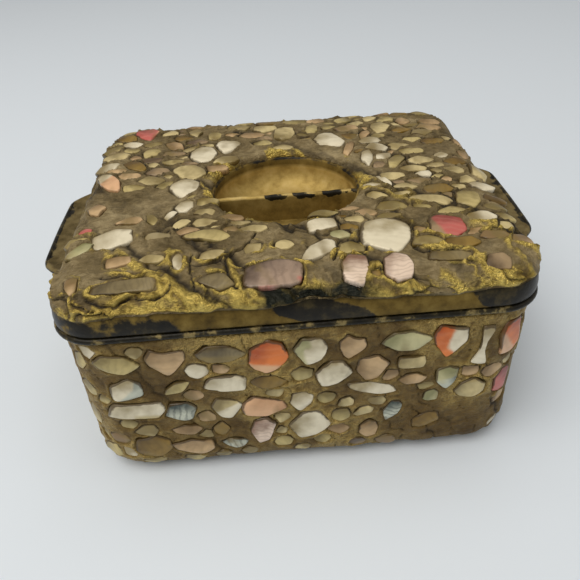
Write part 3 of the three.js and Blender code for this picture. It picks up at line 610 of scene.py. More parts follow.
def squeezed(surface, nearest, second, smeared, seed):
    """Putty round the chips: lips, torn walls between neighbours, gaping creases, beds under them"""
    torn = nearest + smeared * (0.75 * lumps(surface, 2.6, seed) + 0.35 * lumps(surface, 1.3, seed + 1))
    wide = 0.8 + 0.35 * lumps(surface, 4, seed + 2)
    lip = np.clip(0.55 + 0.9 * lumps(surface, 4.5, seed + 3), 0, 1.3) * np.exp(-((torn - wide) / 0.6) ** 2)
    between = np.clip(1 - (second - nearest) / 1.7, 0, 1) * np.clip(1.3 - nearest / 3, 0, 1)
    between *= np.clip(0.7 + 0.9 * lumps(surface, 3.5, seed + 4), 0, 1.3) * (nearest > 0)
    gaping = np.clip(0.1 + 1.6 * lumps(surface, 4, seed + 5), 0, 1)
    crease = gaping * np.exp(-((torn - 0.05) / 0.3) ** 2)
    return lip, between, crease, np.clip((-torn - 0.1) / 0.55, 0, 1)


def outward(rows):
    """Unit normals of a net of points, out of the coat"""
    across = np.roll(rows, -1, axis=1) - np.roll(rows, 1, axis=1)
    along = np.gradient(rows, axis=0)
    normal = np.cross(across, along)
    return normal / np.linalg.norm(normal, axis=2, keepdims=True)


angles = spread(0.5, 1.15)
columns = len(angles)
foot_turns = np.radians(np.linspace(-73, 0, 18))
COAT_SHOULDER = 59.1
wall_levels = np.concatenate([COAT_FOOT + COAT_FOOT * np.sin(foot_turns),
                              np.linspace(COAT_FOOT, COAT_SHOULDER, 100)[1:]])
wall_rows = []
for z in wall_levels:
    half_x, half_y = wall_halves(z)
    x, y = ring(half_x, half_y, np.clip(WALL_CORNER - (74 - half_x), 4, WALL_CORNER), angles)
    wall_rows.append(np.stack([x, y, np.full_like(x, z)], axis=1))
for z, drawn in ((59.9, 0.3), (60.35, 0.75), (WALL_TOP, 1.3)):
    half_x, half_y = wall_halves(COAT_SHOULDER)
    x, y = ring(half_x - drawn, half_y - drawn, WALL_CORNER - drawn, angles)
    wall_rows.append(np.stack([x, y, np.full_like(x, z)], axis=1))
outer_rows = len(wall_rows)
TIN_GAP = 0.3
room_profile = [as_wall((TUB_REACH + TIN_GAP, WALL_TOP)),
                *[as_wall(p) for p in quarter(foot_reach, FOOT_RADIUS, FOOT_RADIUS + TIN_GAP, 0, -62, 6)]]
wall_rows = np.concatenate([np.array(wall_rows), pressed(room_profile, BEAD_REACH, RIM_CORNER, angles)])
wall_out = outward(wall_rows)[:outer_rows].reshape(-1, 3)
wall_skin = wall_rows[:outer_rows].reshape(-1, 3)

nearest, second, over = press(wall_skin, wall_chips + buried)
lip, between, crease, bed = squeezed(wall_skin, nearest, second, 0.35, 31)
# Painted shade: the crease is painted darkest along the upper side of each chip
crease *= np.clip(0.6 + 0.8 * over, 0.15, 1.2)
swell = 0.25 * lumps(wall_skin, 14, 1) + 0.22 * lumps(wall_skin, 5, 2) + 0.12 * lumps(wall_skin, 2, 3)
# The lower right of the front is bare lumpy putty with cracks between the lumps
bare = np.clip((wall_skin[:, 0] - 24) / 8, 0, 1) * np.clip((26 - wall_skin[:, 2]) / 6, 0, 1)
bare *= np.clip((-wall_skin[:, 1] - 35) / 10, 0, 1)
clods = 1 - np.abs(lumps(wall_skin + 1.5 * lumps(wall_skin, 3, 6)[:, None], 4.2, 5))
cracks = np.clip((clods - 0.9) / 0.1, 0, 1)
swell += bare * (0.35 * lumps(wall_skin, 3, 7) - 0.75 * cracks)
dragged = 1 - np.abs(lumps(wall_skin + 3 * lumps(wall_skin, 7, 11)[:, None], 6.5, 12))
scratch = np.clip((dragged - 0.955) / 0.045, 0, 1)
hollows = np.clip(-0.25 - lumps(wall_skin, 2.6, 13), 0, 1)
# Cracks, scratches and hollows are painted dark along with the creases, as painted shade
crease = np.maximum(crease, np.maximum(0.8 * bare * cracks, np.maximum(0.55 * scratch, 0.5 * hollows)))
raised = WALL_LIP * lip + 0.3 * between
heights = swell + raised - WALL_CREASE * crease * (1 - bare) - 0.35 * scratch
heights = heights * (1 - bed) - 1.5 * bed
fade = np.ones(len(wall_levels) + 3)
fade[:3] = (0, 0.3, 0.7)
fade[-4:] = (0.8, 0.6, 0.4, 0.2)
heights *= np.repeat(fade, columns)
wall_skin = wall_skin + wall_out * heights[:, None]
wall_skin[:, 1] = np.maximum(wall_skin[:, 1], cad_box[0][1] / MM + 0.03)
wall_points = np.concatenate([wall_skin, wall_rows[outer_rows:].reshape(-1, 3)])
hidden = np.zeros(len(wall_points) - len(wall_skin))


# Gold-washed putty: a chalky filler under bronze paint. The wash gives the smooth places a
# soft satin sheen; it is worn to brown putty in the middle, and the creases are painted nearly black as
# painted shade.
def putty_material(name, dark, mid, light, gilt_dark, gilt_light, gilt_metal, grit):
    material, tree = new_material(name)
    where = add(tree, "TexCoord")
    crease = add(tree, "Attribute", attribute_name="crease")
    gilt = add(tree, "Attribute", attribute_name="gilt")
    bare = add(tree, "Attribute", attribute_name="bare")
    broad = add(tree, "TexNoise", {"Vector": where.outputs["Object"], "Scale": 85.0, "Detail": 4.0,
                                   "Roughness": 0.6})
    fine = add(tree, "TexNoise", {"Vector": where.outputs["Object"], "Scale": 1 / (grit * MM),
                                  "Detail": 4.0, "Roughness": 0.6})
    curls = add(tree, "TexNoise", {"Vector": where.outputs["Object"], "Scale": 1 / (2.2 * grit * MM),
                                   "Detail": 2.5, "Roughness": 0.55, "Distortion": 0.6})
    from_crest = add(tree, "Math", {0: curls.outputs["Fac"], 1: 0.5}, operation="SUBTRACT")
    off_crest = add(tree, "Math", {0: from_crest.outputs[0]}, operation="ABSOLUTE")
    crinkle = add(tree, "MapRange", {"Value": off_crest.outputs[0], "From Max": 0.13, "To Min": 1.0,
                                     "To Max": 0.0})
    drawn_out = add(tree, "Mapping", {"Vector": where.outputs["Object"], "Scale": (0.5, 1.0, 1.0)})
    strokes = add(tree, "TexNoise", {"Vector": drawn_out.outputs["Vector"], "Scale": 1 / (2.6 * MM),
                                     "Detail": 2.0, "Roughness": 0.5, "Distortion": 2.2})
    laid_on = add(tree, "Math", {0: strokes.outputs["Fac"], 1: 0.4, 2: broad.outputs["Fac"]},
                  operation="MULTIPLY_ADD")
    streaky = add(tree, "Math", {0: laid_on.outputs[0], 1: 0.2}, operation="SUBTRACT")
    earth = add(tree, "ValToRGB", {"Fac": streaky.outputs[0]},
                stops=[(0.3, shade(dark)), (0.52, shade(mid)), (0.75, shade(light))])
    streaks = add(tree, "TexNoise", {"Vector": where.outputs["Object"], "Scale": 300.0, "Detail": 3.0,
                                     "Roughness": 0.5})
    thick = add(tree, "Math", {0: gilt.outputs["Fac"], 1: 0.3, 2: streaks.outputs["Fac"]},
                operation="MULTIPLY_ADD")
    lifted = add(tree, "Math", {0: thick.outputs[0], 1: 0.42}, operation="SUBTRACT")
    gathered = add(tree, "MapRange", {"Value": broad.outputs["Fac"], "From Min": 0.38, "From Max": 0.62})
    wrinkle = add(tree, "Math", {0: crinkle.outputs[0], 1: gathered.outputs[0]}, operation="MULTIPLY")
    # Painted highlight and shade: the paint is lighter on the crinkle crests and darker in the hollows
    # between them, and lighter where the gilt is thicker
    paint_and_crest_light = add(tree, "Math", {0: wrinkle.outputs[0], 1: 0.45, 2: lifted.outputs[0]},
                operation="MULTIPLY_ADD")
    paint = add(tree, "ValToRGB", {"Fac": paint_and_crest_light.outputs[0]},
                stops=[(0.14, shade(gilt_dark)), (0.58, shade(gilt_light))])
    patchy = add(tree, "Math", {0: streaks.outputs["Fac"], 1: 0.5}, operation="SUBTRACT")
    edge = add(tree, "Math", {0: patchy.outputs[0], 1: 0.9, 2: gilt.outputs["Fac"]},
               operation="MULTIPLY_ADD", use_clamp=True)
    cover = add(tree, "ValToRGB", {"Fac": edge.outputs[0]},
                stops=[(0.25, (0, 0, 0, 1)), (0.8, (1, 1, 1, 1))])
    coloured = add(tree, "Mix", {0: cover.outputs["Color"], 6: earth.outputs["Color"],
                                 7: paint.outputs["Color"]}, data_type="RGBA")
    # Painted shade: the creases are painted near black and lose their metal
    painted_shade = add(tree, "ValToRGB", {"Fac": crease.outputs["Fac"]},
                stops=[(0.12, (0, 0, 0, 1)), (0.85, (1, 1, 1, 1))])
    crease_shaded = add(tree, "Mix", {0: painted_shade.outputs["Color"], 6: coloured.outputs[2], 7: shade("#1d160b")},
                  data_type="RGBA")
    ragged = add(tree, "Math", {0: patchy.outputs[0], 1: 1.2, 2: bare.outputs["Fac"]},
                 operation="MULTIPLY_ADD", use_clamp=True)
    stripped = add(tree, "Mix", {0: ragged.outputs[0], 6: crease_shaded.outputs[2], 7: shade("#20221a")},
                   data_type="RGBA")
    metal = add(tree, "Math", {0: cover.outputs["Color"], 1: gilt_metal}, operation="MULTIPLY")
    dull = add(tree, "Math", {0: 1.0, 1: painted_shade.outputs["Color"]}, operation="SUBTRACT")
    metal_out_of_shade = add(tree, "Math", {0: metal.outputs[0], 1: dull.outputs[0]}, operation="MULTIPLY")
    rough = add(tree, "MapRange", {"Value": cover.outputs["Color"], "To Min": 0.6, "To Max": 0.38})
    curled = add(tree, "MapRange", {"Value": cover.outputs["Color"], "To Min": 0.3, "To Max": 1.3})
    pushed = add(tree, "Math", {0: strokes.outputs["Fac"], 1: 1.4, 2: fine.outputs["Fac"]},
                 operation="MULTIPLY_ADD")
    height = add(tree, "Math", {0: wrinkle.outputs[0], 1: curled.outputs[0], 2: pushed.outputs[0]},
                 operation="MULTIPLY_ADD")
    relief = add(tree, "Bump", {"Strength": 0.7, "Distance": 0.0006, "Height": height.outputs[0]})
    surface = add(tree, "BsdfPrincipled", {
        "Base Color": stripped.outputs[2], "Metallic": metal_out_of_shade.outputs[0], "Specular IOR Level": 0.25,
        "Roughness": rough.outputs[0], "Normal": relief.outputs["Normal"]})
    add(tree, "OutputMaterial", {"Surface": surface.outputs["BSDF"]})
    return material


washed_putty = putty_material("gold_washed_putty", "#4f3c1a", "#6d582f", "#8b7748", "#665124",
                              "#b0975a", 0.4, 0.8)
wall_gilt = 0.3 + 0.5 * lumps(wall_skin, 11, 21) + 0.7 * raised + 0.35 * swell
wall_gilt = np.clip(wall_gilt + 0.3 * (wall_skin[:, 2] > 56), 0, 1)
wall_faces = net(len(wall_rows), columns, True)
wall_piece = make_piece("gold_washed_wall_putty", wall_points, wall_faces, washed_putty, {
    "crease": np.concatenate([np.clip(crease, 0, 1), hidden]),
    "gilt": np.concatenate([wall_gilt * (1 - 0.6 * bare), hidden]),
    "bare": np.zeros(len(wall_points)),
})
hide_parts("tub_putty")

# The faces of the flakes: polished by tumbling, so each catches a soft glint, with growth
# lines across the shell and veins through the stone. A dark line along the edges is painted
# shade, and each face is painted lighter on one side and darker on the other as painted light and shade.
# Per stone: light, dark and vein colour, roughness, line spacing in mm, relief
stones = {
    "white": ("#e2d9c0", "#9d8f6c", "#8f7f55", 0.30, 3.1, 0.08),
    "cream": ("#ccbb89", "#85754a", "#7d6e42", 0.34, 2.6, 0.12),
    "olive": ("#bfae76", "#766739", "#6a5c30", 0.36, 2.4, 0.14),
    "beige": ("#c6a87e", "#7f6641", "#76603c", 0.36, 2.8, 0.12),
    "ochre": ("#8a6f30", "#5c4512", "#4a370d", 0.38, 2.8, 0.15),
    "dusk": ("#9b8463", "#57452e", "#463722", 0.34, 2.4, 0.12),
    "putty": ("#8d7a48", "#5e4e28", "#524221", 0.50, 2.4, 0.05),
    "grey": ("#877853", "#453a24", "#352c1b", 0.30, 1.6, 0.15),
    "blue": ("#c0c4b4", "#39443f", "#26302f", 0.22, 2.1, 0.45),
    "green": ("#c0ba8d", "#85835a", "#6d7048", 0.30, 3.6, 0.06),
    "salmon": ("#dcb088", "#ad7f57", "#b39a70", 0.36, 3.6, 0.06),
    "coral": ("#e07c36", "#a84a16", "#dda27c", 0.28, 3.8, 0.10),
    "crimson": ("#bf645c", "#863c33", "#d29f90", 0.30, 3.0, 0.12),
    "pearl": ("#e2cdba", "#80614f", "#6a5144", 0.16, 1.5, 0.2),
    "mauve": ("#a58e7c", "#54453a", "#463a33", 0.24, 3.0, 0.20),
    "brown": ("#7d5a32", "#543c1e", "#3c2a12", 0.40, 1.8, 0.20),
}
flake_materials = {}


def flake_material(stone, second):
    """Polished flake of one stone that runs into a second where the tone field says"""
    if (stone, second) in flake_materials:
        return flake_materials[stone, second]
    light, dark, vein, roughness, spacing, depth = stones[stone]
    material, tree = new_material(f"tumbled_{stone}_flake" + (f"_with_{second}" if second != stone else ""))
    lay = add(tree, "Attribute", attribute_name="lay")
    rim = add(tree, "Attribute", attribute_name="rim")
    tone = add(tree, "Attribute", attribute_name="tone")
    # A wave texture repeats every 0.314 units, and the lay field is in mm
    lines = add(tree, "TexWave", {"Vector": lay.outputs["Vector"], "Scale": 0.314 / spacing,
                                  "Distortion": 14.0, "Detail": 3.0, "Detail Scale": 0.7})
    cloud = add(tree, "TexNoise", {"Vector": lay.outputs["Vector"], "Scale": 0.16, "Detail": 3.0,
                                   "Roughness": 0.5})
    lit_side_and_tone = add(tree, "Attribute", attribute_name="lit_side_and_tone")
    # The body colour runs from dark to light across the face: painted light and shade, with cloudy tone
    mottled = add(tree, "Math", {0: cloud.outputs["Fac"], 1: 0.7, 2: lit_side_and_tone.outputs["Fac"]},
                  operation="MULTIPLY_ADD")
    body = add(tree, "ValToRGB", {"Fac": mottled.outputs[0]},
               stops=[(0.42, shade(dark)), (0.8, shade(light))])
    veins = add(tree, "ValToRGB", {"Fac": lines.outputs["Fac"]},
                stops=[(0.05, (depth, depth, depth, 1)), (0.5, (0, 0, 0, 1))])
    veined = add(tree, "Mix", {0: veins.outputs["Color"], 6: body.outputs["Color"], 7: shade(vein)},
                 data_type="RGBA")
    other = add(tree, "ValToRGB", {"Fac": mottled.outputs[0]},
                stops=[(0.42, shade(stones[second][1])), (0.8, shade(stones[second][0]))])
    joined = add(tree, "Mix", {0: tone.outputs["Fac"], 6: veined.outputs[2], 7: other.outputs["Color"]},
                 data_type="RGBA")
    # Painted shade: a dark line along the chip's edge, patchy and strongest on the upper side
    patches = add(tree, "TexNoise", {"Vector": lay.outputs["Vector"], "Scale": 0.55, "Detail": 3.0})
    edge_shade_mask = add(tree, "Math", {0: patches.outputs["Fac"], 1: 0.9, 2: rim.outputs["Fac"]},
                  operation="MULTIPLY_ADD")
    painted_shade = add(tree, "ValToRGB", {"Fac": edge_shade_mask.outputs[0]},
                stops=[(0.72, (0, 0, 0, 1)), (1.0, (0.85, 0.85, 0.85, 1))])
    edged = add(tree, "Mix", {0: painted_shade.outputs["Color"], 6: joined.outputs[2], 7: shade("#45351a")},
                data_type="RGBA")
    film = add(tree, "Attribute", attribute_name="film")
    veil = add(tree, "Math", {0: film.outputs["Fac"], 1: 0.85}, operation="MULTIPLY")
    aged = add(tree, "Mix", {0: veil.outputs[0], 6: edged.outputs[2], 7: shade("#786639")},
               data_type="RGBA")
    gloss = add(tree, "MapRange", {"Value": cloud.outputs["Fac"], "To Min": roughness - 0.08,
                                   "To Max": roughness + 0.16})
    relief = add(tree, "Bump", {"Strength": 0.2, "Distance": 0.0002, "Height": cloud.outputs["Fac"]})
    surface = add(tree, "BsdfPrincipled", {
        "Base Color": aged.outputs[2], "Roughness": gloss.outputs[0], "Normal": relief.outputs["Normal"],
        "Specular IOR Level": 0.4, "IOR": 1.53})
    add(tree, "OutputMaterial", {"Surface": surface.outputs["BSDF"]})
    flake_materials[stone, second] = material
    return material


# Where a flake has a second colour: stone, the way it lies in degrees, and its share
second_tones = {
    "slab_white_blue": ("blue", -35, 0.5), "bar_white": ("brown", 135, 0.2),
    "heart_coral_white": ("white", 0, 0.5), "crescent_grey": ("putty", -80, 0.5),
    "heart_coral": ("salmon", -105, 0.28), "drop_white": ("green", 180, 0.45),
    "heart_crimson": ("dusk", 180, 0.3), "corner_crimson": ("salmon", 0, 0.2),
    "pebble_green": ("blue", -80, 0.4), "corner_coral": ("salmon", 200, 0.45),
    "pearl_mauve": ("crimson", -80, 0.2), "edge_rust": ("white", 150, 0.5),
    "bar_long": ("cream", -80, 0.35),
    "wedge_cream": ("white", -60, 0.5), "wedge_salmon": ("beige", 200, 0.2),
}
# Rings of points from the edge in: share of the outline, and how far below the face they lie
RINGS = [(1.0, CHIP_DEPTH), (1.0, 0.42), (0.99, 0.2), (0.97, 0.07), (0.94, 0.0), (0.88, 0),
         (0.8, 0), (0.7, 0), (0.59, 0), (0.47, 0), (0.34, 0), (0.18, 0)]
SMALL_RINGS = [(1.0, CHIP_DEPTH), (1.0, 0.42), (0.985, 0.16), (0.95, 0.01), (0.86, 0), (0.68, 0),
               (0.45, 0), (0.2, 0)]
BREAK_EDGE = 5.0
# No flake stands higher over the coat, so that all stay inside the size of the solids
TALLEST = 0.69


def flake(chip, rings):
    """Points, faces and fields of one chip: a flat crown cut off by a few slanting breaks"""
    rng = np.random.default_rng(chip["seed"])
    middle = chip["outline"].mean(0)
    loop = chip["outline"] - middle
    flat = np.concatenate([loop * share for share, _ in rings] + [[[0, 0]]])
    below = np.append(np.repeat([drop for _, drop in rings], EDGE_POINTS), 0)
    rim = np.append(np.repeat([np.clip((share - 0.8) / 0.2, 0, 1) for share, _ in rings], EDGE_POINTS), 0)
    size = np.abs(loop).max()
    breaks = [min(0.2 * size, 1.0) * rng.uniform(0.6, 1) + flat @ rng.uniform(-0.06, 0.06, 2)]
    for way in rng.uniform(0, 2 * np.pi) + np.arange(4) * math.pi / 2 + rng.uniform(-0.6, 0.6, 4):
        toward = np.array([math.cos(way), math.sin(way)])
        breaks.append(rng.uniform(0.2, 0.8) * ((loop @ toward).max() - flat @ toward) + 0.1)
    face = -np.log(np.exp(-BREAK_EDGE * np.array(breaks)).sum(0)) / BREAK_EDGE
    deep = np.concatenate([flat, np.full((len(flat), 1), chip["seed"] * 3.0)], axis=1)
    face += (0.08 * lumps(deep, 2.8, chip["seed"]) + 0.03 * lumps(deep, 1.1, chip["seed"] + 3)) * (1 - rim)
    height = np.minimum(chip["proud"] + face - below, TALLEST)
    points = chip["spot"] + np.stack([*(flat + middle).T, height], axis=1) @ chip["axes"].T
    faces = net(len(rings), EDGE_POINTS, False)[:-1]
    last = (len(rings) - 1) * EDGE_POINTS
    faces += [[last + j, last + (j + 1) % EDGE_POINTS, len(flat) - 1] for j in range(EDGE_POINTS)]
    second, way, share = second_tones.get(chip["name"], (chip["stone"], 0, -1.0))
    turned = math.radians(way - chip["turn"])
    lean = flat @ np.array([math.cos(turned), math.sin(turned)]) / size
    tone = np.clip((lean - (1 - 2 * share) + 0.25 * lumps(deep, 2.5, 7)) / 0.16, 0, 1) * (share > 0)
    # Painted light and shade: each face is painted lighter on one side and darker on the other, mostly dark
    # at the upper left; some chips also get a random shift of tone
    lit = math.radians(rng.normal(-60, 30) - chip["turn"])
    lit_side_and_tone = 0.33 + 0.34 * flat @ np.array([math.cos(lit), math.sin(lit)]) / size
    if chip["film"] > -0.7:
        lit_side_and_tone += rng.normal(-0.08, 0.12)
    # Painted shade: the dark edge line is strongest on the upper side of the chip
    away = flat / np.maximum(np.linalg.norm(flat, axis=1, keepdims=True), 0.01)
    shaded = math.radians(115 - chip["turn"])
    rim *= np.clip(0.62 + 0.5 * away @ np.array([math.cos(shaded), math.sin(shaded)]), 0.25, 1)
    film = np.clip(chip["film"] + 1.1 * lumps(points, 4.5, 71) + 0.6 * lumps(points, 1.8, 72), 0, 1)
    return points, faces, {"lay": deep, "rim": rim, "tone": tone, "lit_side_and_tone": lit_side_and_tone, "film": film}


def set_flakes(prefix, chips):
    """One piece for each chip that has a node of its own"""
    for chip in chips:
        points, faces, fields = flake(chip, RINGS)
        second = second_tones.get(chip["name"], (chip["stone"],))[0]
        piece = make_piece(f"{prefix}_flake_{chip['name']}", points, faces,
                           flake_material(chip["stone"], second), fields)
        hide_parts(f"{prefix}_chip_{chip['name']}")


def set_small_flakes(prefix, chips):
    """The small flakes of each stone as one piece"""
    for stone in sorted({chip["stone"] for chip in chips}):
        points, faces, fields = [], [], {"lay": [], "rim": [], "tone": [], "lit_side_and_tone": [], "film": []}
        for chip in (c for c in chips if c["stone"] == stone):
            own_points, own_faces, own_fields = flake(chip, SMALL_RINGS)
            start = sum(len(p) for p in points)
            faces += [[corner + start for corner in face] for face in own_faces]
            points.append(own_points)
            for field, values in own_fields.items():
                fields[field].append(values)
        piece = make_piece(f"{prefix}_small_{stone}_flakes", np.concatenate(points), faces,
                           flake_material(stone, stone), {f: np.concatenate(v) for f, v in fields.items()})


set_flakes("wall", wall_chips)
set_small_flakes("wall", buried)

# The lid: tinplate pressed in one piece, with a round well for the fingers and a folded rib
# across it to pinch. It is gilded inside the well and black enamelled round its rim.
SKIRT_BOTTOM = GAP_HEIGHT + 0.2
PLATE_TOP = 73.4
TOP_HEIGHT = 76.6
WELL_RADIUS = 26
WELL_FLOOR = 61.9
WELL_FILLET = 7
RIB_Y = -2
RIB_HALF = 1.0
RIB_TOP = 72.2
W = LID_HALF_WIDTH
lid_skin = [(W - 0.5, SKIRT_BOTTOM), (W - 0.12, SKIRT_BOTTOM + 0.35), (W, SKIRT_BOTTOM + 1),
            (W, SKIRT_BOTTOM + 2.3), (W - 0.25, SKIRT_BOTTOM + 3.8), (W - 0.6, SKIRT_BOTTOM + 5.3),
            (W - 1.4, 70.4), (W - 3, 72), (W - 5.2, 73), (W - 8, PLATE_TOP)]
lid_angles = spread(1.1, 1.6)
lid_columns = len(lid_angles)


def circle_rows(profile):
    """Rows of points round the well, one for each profile point of radius and height"""
    return np.array([np.stack([r * np.cos(lid_angles), r * np.sin(lid_angles),
                               np.full(lid_columns, z)], axis=1) for r, z in profile])


wall_radius = WELL_RADIUS + TIN
bend_at = (WELL_RADIUS - WELL_FILLET, WELL_FLOOR + WELL_FILLET)
upper = circle_rows([(WELL_RADIUS + 2, PLATE_TOP), (WELL_RADIUS + 0.5, PLATE_TOP - 0.1),
                     (WELL_RADIUS, PLATE_TOP - 0.6), *quarter(*bend_at, WELL_FILLET, 0, -90, 14),
                     (12, WELL_FLOOR), (5, WELL_FLOOR)])
lower = circle_rows([(5, WELL_FLOOR - TIN), (12, WELL_FLOOR - TIN),
                     *quarter(*bend_at, WELL_FILLET + TIN, -90, 0, 8), (wall_radius, PLATE_TOP - TIN)])
outside = pressed(lid_skin, W, LID_CORNER, lid_angles)
inside_skin = [(reach - TIN, z - 0.36) for reach, z in lid_skin[2:]][::-1] + [(W - 0.5 - TIN, SKIRT_BOTTOM)]
inside = pressed(inside_skin, W, LID_CORNER, lid_angles)
plate_steps = [outside[-1] * (1 - t) + upper[0] * t for t in (0.25, 0.5, 0.75)]
tin_rows = np.concatenate([outside, plate_steps, upper])
under_rows = np.concatenate([lower, inside])
lid_points = np.concatenate([tin_rows, under_rows]).reshape(-1, 3)
all_rows = len(tin_rows) + len(under_rows)
lid_faces = net(all_rows, lid_columns, True)
# The bottom of the well is closed by two flat discs in place of the faces between them
last_top, first_under = len(tin_rows) - 1, len(tin_rows)
del lid_faces[last_top * lid_columns:first_under * lid_columns]
lid_faces.append([last_top * lid_columns + j for j in range(lid_columns)])
lid_faces.append([first_under * lid_columns + j for j in range(lid_columns)][::-1])
# The rib stands across the well with a folded, dented top
RIB_STEPS = 90
rib_section = [(-RIB_HALF, -1.2), (-RIB_HALF, 3), (-RIB_HALF, 6), (-RIB_HALF, 8), (-RIB_HALF, 9.3),
               (-0.86, 9.85), (-0.5, 10.2), (0, 10.3), (0.5, 10.2), (0.86, 9.85), (RIB_HALF, 9.3),
               (RIB_HALF, 8), (RIB_HALF, 6), (RIB_HALF, 3), (RIB_HALF, -1.2)]
rib_points = []
rib_rise = RIB_TOP - WELL_FLOOR + 0.2
for step in range(RIB_STEPS + 1):
    x = (WELL_RADIUS + 0.2) * (2 * step / RIB_STEPS - 1)
    dent = 0.22 * math.sin(x * 0.33 + 1) + 0.12 * math.sin(x * 1.1)
    for across, up in rib_section:
        sway = dent * max(up, 0) / 10
        rib_points.append((x, RIB_Y + across + sway, WELL_FLOOR - 0.2 + up * rib_rise / 10.3))
rib_points = np.array(rib_points)
# The rib's lower corners follow the fillet of the well
bowl_floor = WELL_FLOOR + WELL_FILLET - np.sqrt(np.maximum(
    WELL_FILLET**2 - np.maximum(np.abs(rib_points[:, 0]) - (WELL_RADIUS - WELL_FILLET), 0) ** 2, 0))
rib_points[:, 2] = np.maximum(rib_points[:, 2], np.minimum(bowl_floor - 0.3, RIB_TOP - 1.5))
rib_faces = [[corner + len(lid_points) for corner in face[::-1]]
             for face in net(RIB_STEPS + 1, len(rib_section), False)]
lid_points = np.concatenate([lid_points, rib_points])
lid_faces += rib_faces

# How much gold lies on the tin: all of the well, and the rim where it was brushed over. In the
# well the rib's front, the well's front and a band under the lip are painted duller and darker as painted
# shade
x, y, z = lid_points.T
front = np.clip((-y - 45) / 8, 0, 1)
# Along the front of the rim: mm from the middle, and how much gold is left on it there
rim_wear = [(-80, 0.32), (-42, 0.3), (-34, 0.46), (-22, 0.8), (-4, 0.8), (0, 0.1), (14, 0.05), (19, 0.75),
            (50, 0.7), (55, 0.12), (80, 0.08)]
slanting = x + 5 * lumps(lid_points, 5, 81) + 2 * (z - 66)
along_front = np.interp(slanting, [p[0] for p in rim_wear], [p[1] for p in rim_wear])
lid_wash_and_shade = np.where(z > PLATE_TOP - 1.0, 0.4, 0.33 + (along_front - 0.33) * front)
lid_wash_and_shade += 0.12 * np.clip((z - 67) / 2, 0, 1)
in_well = np.hypot(x, y) < WELL_RADIUS + 0.6
lid_wash_and_shade = np.where(in_well & (z > WELL_FLOOR - 0.3), 2.0, lid_wash_and_shade)
# Painted shadow: a dark band just under the lip of the well, beneath the overhanging putty
under_mouth = in_well & (np.hypot(x, y) > WELL_RADIUS - 0.5) & (z > PLATE_TOP - 1.4)
lid_wash_and_shade = np.where(under_mouth, 0.42, lid_wash_and_shade)
# Painted shade: the rib's front face and the front of the well are painted duller and browner
on_rib_front = in_well & (y < RIB_Y) & (y > RIB_Y - 3) & (z < RIB_TOP - 0.6)
lid_wash_and_shade = np.where(on_rib_front, 1.4, np.where(in_well & (y < RIB_Y - 3), 1.5, lid_wash_and_shade))


# Gilded tin: bronze paint brushed on while the lid was new, satin in the well, browner and
# thinner on the worn rim, painted browner on the rib's front and the well's front as painted
# shade, and flaked to black enamel along the rib's folded edge.
def gilded_material():
    material, tree = new_material("brushed_bronze_gilding")
    where = add(tree, "TexCoord")
    wash_and_shade_field = add(tree, "Attribute", attribute_name="wash_and_shade")
    flaked = add(tree, "Attribute", attribute_name="flaked")
    blots = add(tree, "TexNoise", {"Vector": where.outputs["Object"], "Scale": 170.0, "Detail": 5.0,
                                   "Roughness": 0.62})
    fine = add(tree, "TexNoise", {"Vector": where.outputs["Object"], "Scale": 1300.0, "Detail": 3.0})
    worn = add(tree, "Math", {0: wash_and_shade_field.outputs["Fac"], 1: blots.outputs["Fac"]}, operation="ADD")
    cover = add(tree, "ValToRGB", {"Fac": worn.outputs[0]},
                stops=[(0.86, (0, 0, 0, 1)), (1.0, (1, 1, 1, 1))])
    chipped = add(tree, "TexNoise", {"Vector": where.outputs["Object"], "Scale": 520.0, "Detail": 3.0,
                                     "Roughness": 0.6})
    bits = add(tree, "Math", {0: chipped.outputs["Fac"], 1: 0.9, 2: flaked.outputs["Fac"]},
               operation="MULTIPLY_ADD")
    whole = add(tree, "ValToRGB", {"Fac": bits.outputs[0]},
                stops=[(0.66, (1, 1, 1, 1)), (0.72, (0, 0, 0, 1))])
    kept = add(tree, "Math", {0: cover.outputs["Color"], 1: whole.outputs["Color"]}, operation="MULTIPLY")
    dull = add(tree, "ValToRGB", {"Fac": blots.outputs["Fac"]},
               stops=[(0.3, shade("#473816")), (0.5, shade("#6a5626")), (0.72, shade("#86713a"))])
    clean_and_lit = add(tree, "MapRange", {"Value": wash_and_shade_field.outputs["Fac"], "From Min": 1.2, "From Max": 1.8})
    glaze = add(tree, "ValToRGB", {"Fac": blots.outputs["Fac"]},
                stops=[(0.32, shade("#0c0906")), (0.5, shade("#1e1a10")), (0.74, shade("#4c4227"))])
    gold = add(tree, "ValToRGB", {"Fac": blots.outputs["Fac"]},
               stops=[(0.3, shade("#8f773f")), (0.5, shade("#b59c5c")), (0.72, shade("#c8b176"))])
    worn_and_shaded_gold = add(tree, "Mix", {0: clean_and_lit.outputs[0], 6: dull.outputs["Color"], 7: gold.outputs["Color"]},
                  data_type="RGBA")
    colour = add(tree, "Mix", {0: kept.outputs[0], 6: glaze.outputs["Color"], 7: worn_and_shaded_gold.outputs[2]},
                 data_type="RGBA")
    metal = add(tree, "Math", {0: kept.outputs[0], 1: 0.4}, operation="MULTIPLY")
    rough = add(tree, "MapRange", {"Value": kept.outputs[0], "To Min": 0.36, "To Max": 0.58})
    height = add(tree, "Math", {0: fine.outputs["Fac"], 1: kept.outputs[0]}, operation="ADD")
    relief = add(tree, "Bump", {"Strength": 0.3, "Distance": 0.00025, "Height": height.outputs[0]})
    surface = add(tree, "BsdfPrincipled", {
        "Base Color": colour.outputs[2], "Metallic": metal.outputs[0], "Roughness": rough.outputs[0],
        "Specular IOR Level": 0.22, "Normal": relief.outputs["Normal"]})
    add(tree, "OutputMaterial", {"Surface": surface.outputs["BSDF"]})
    return material


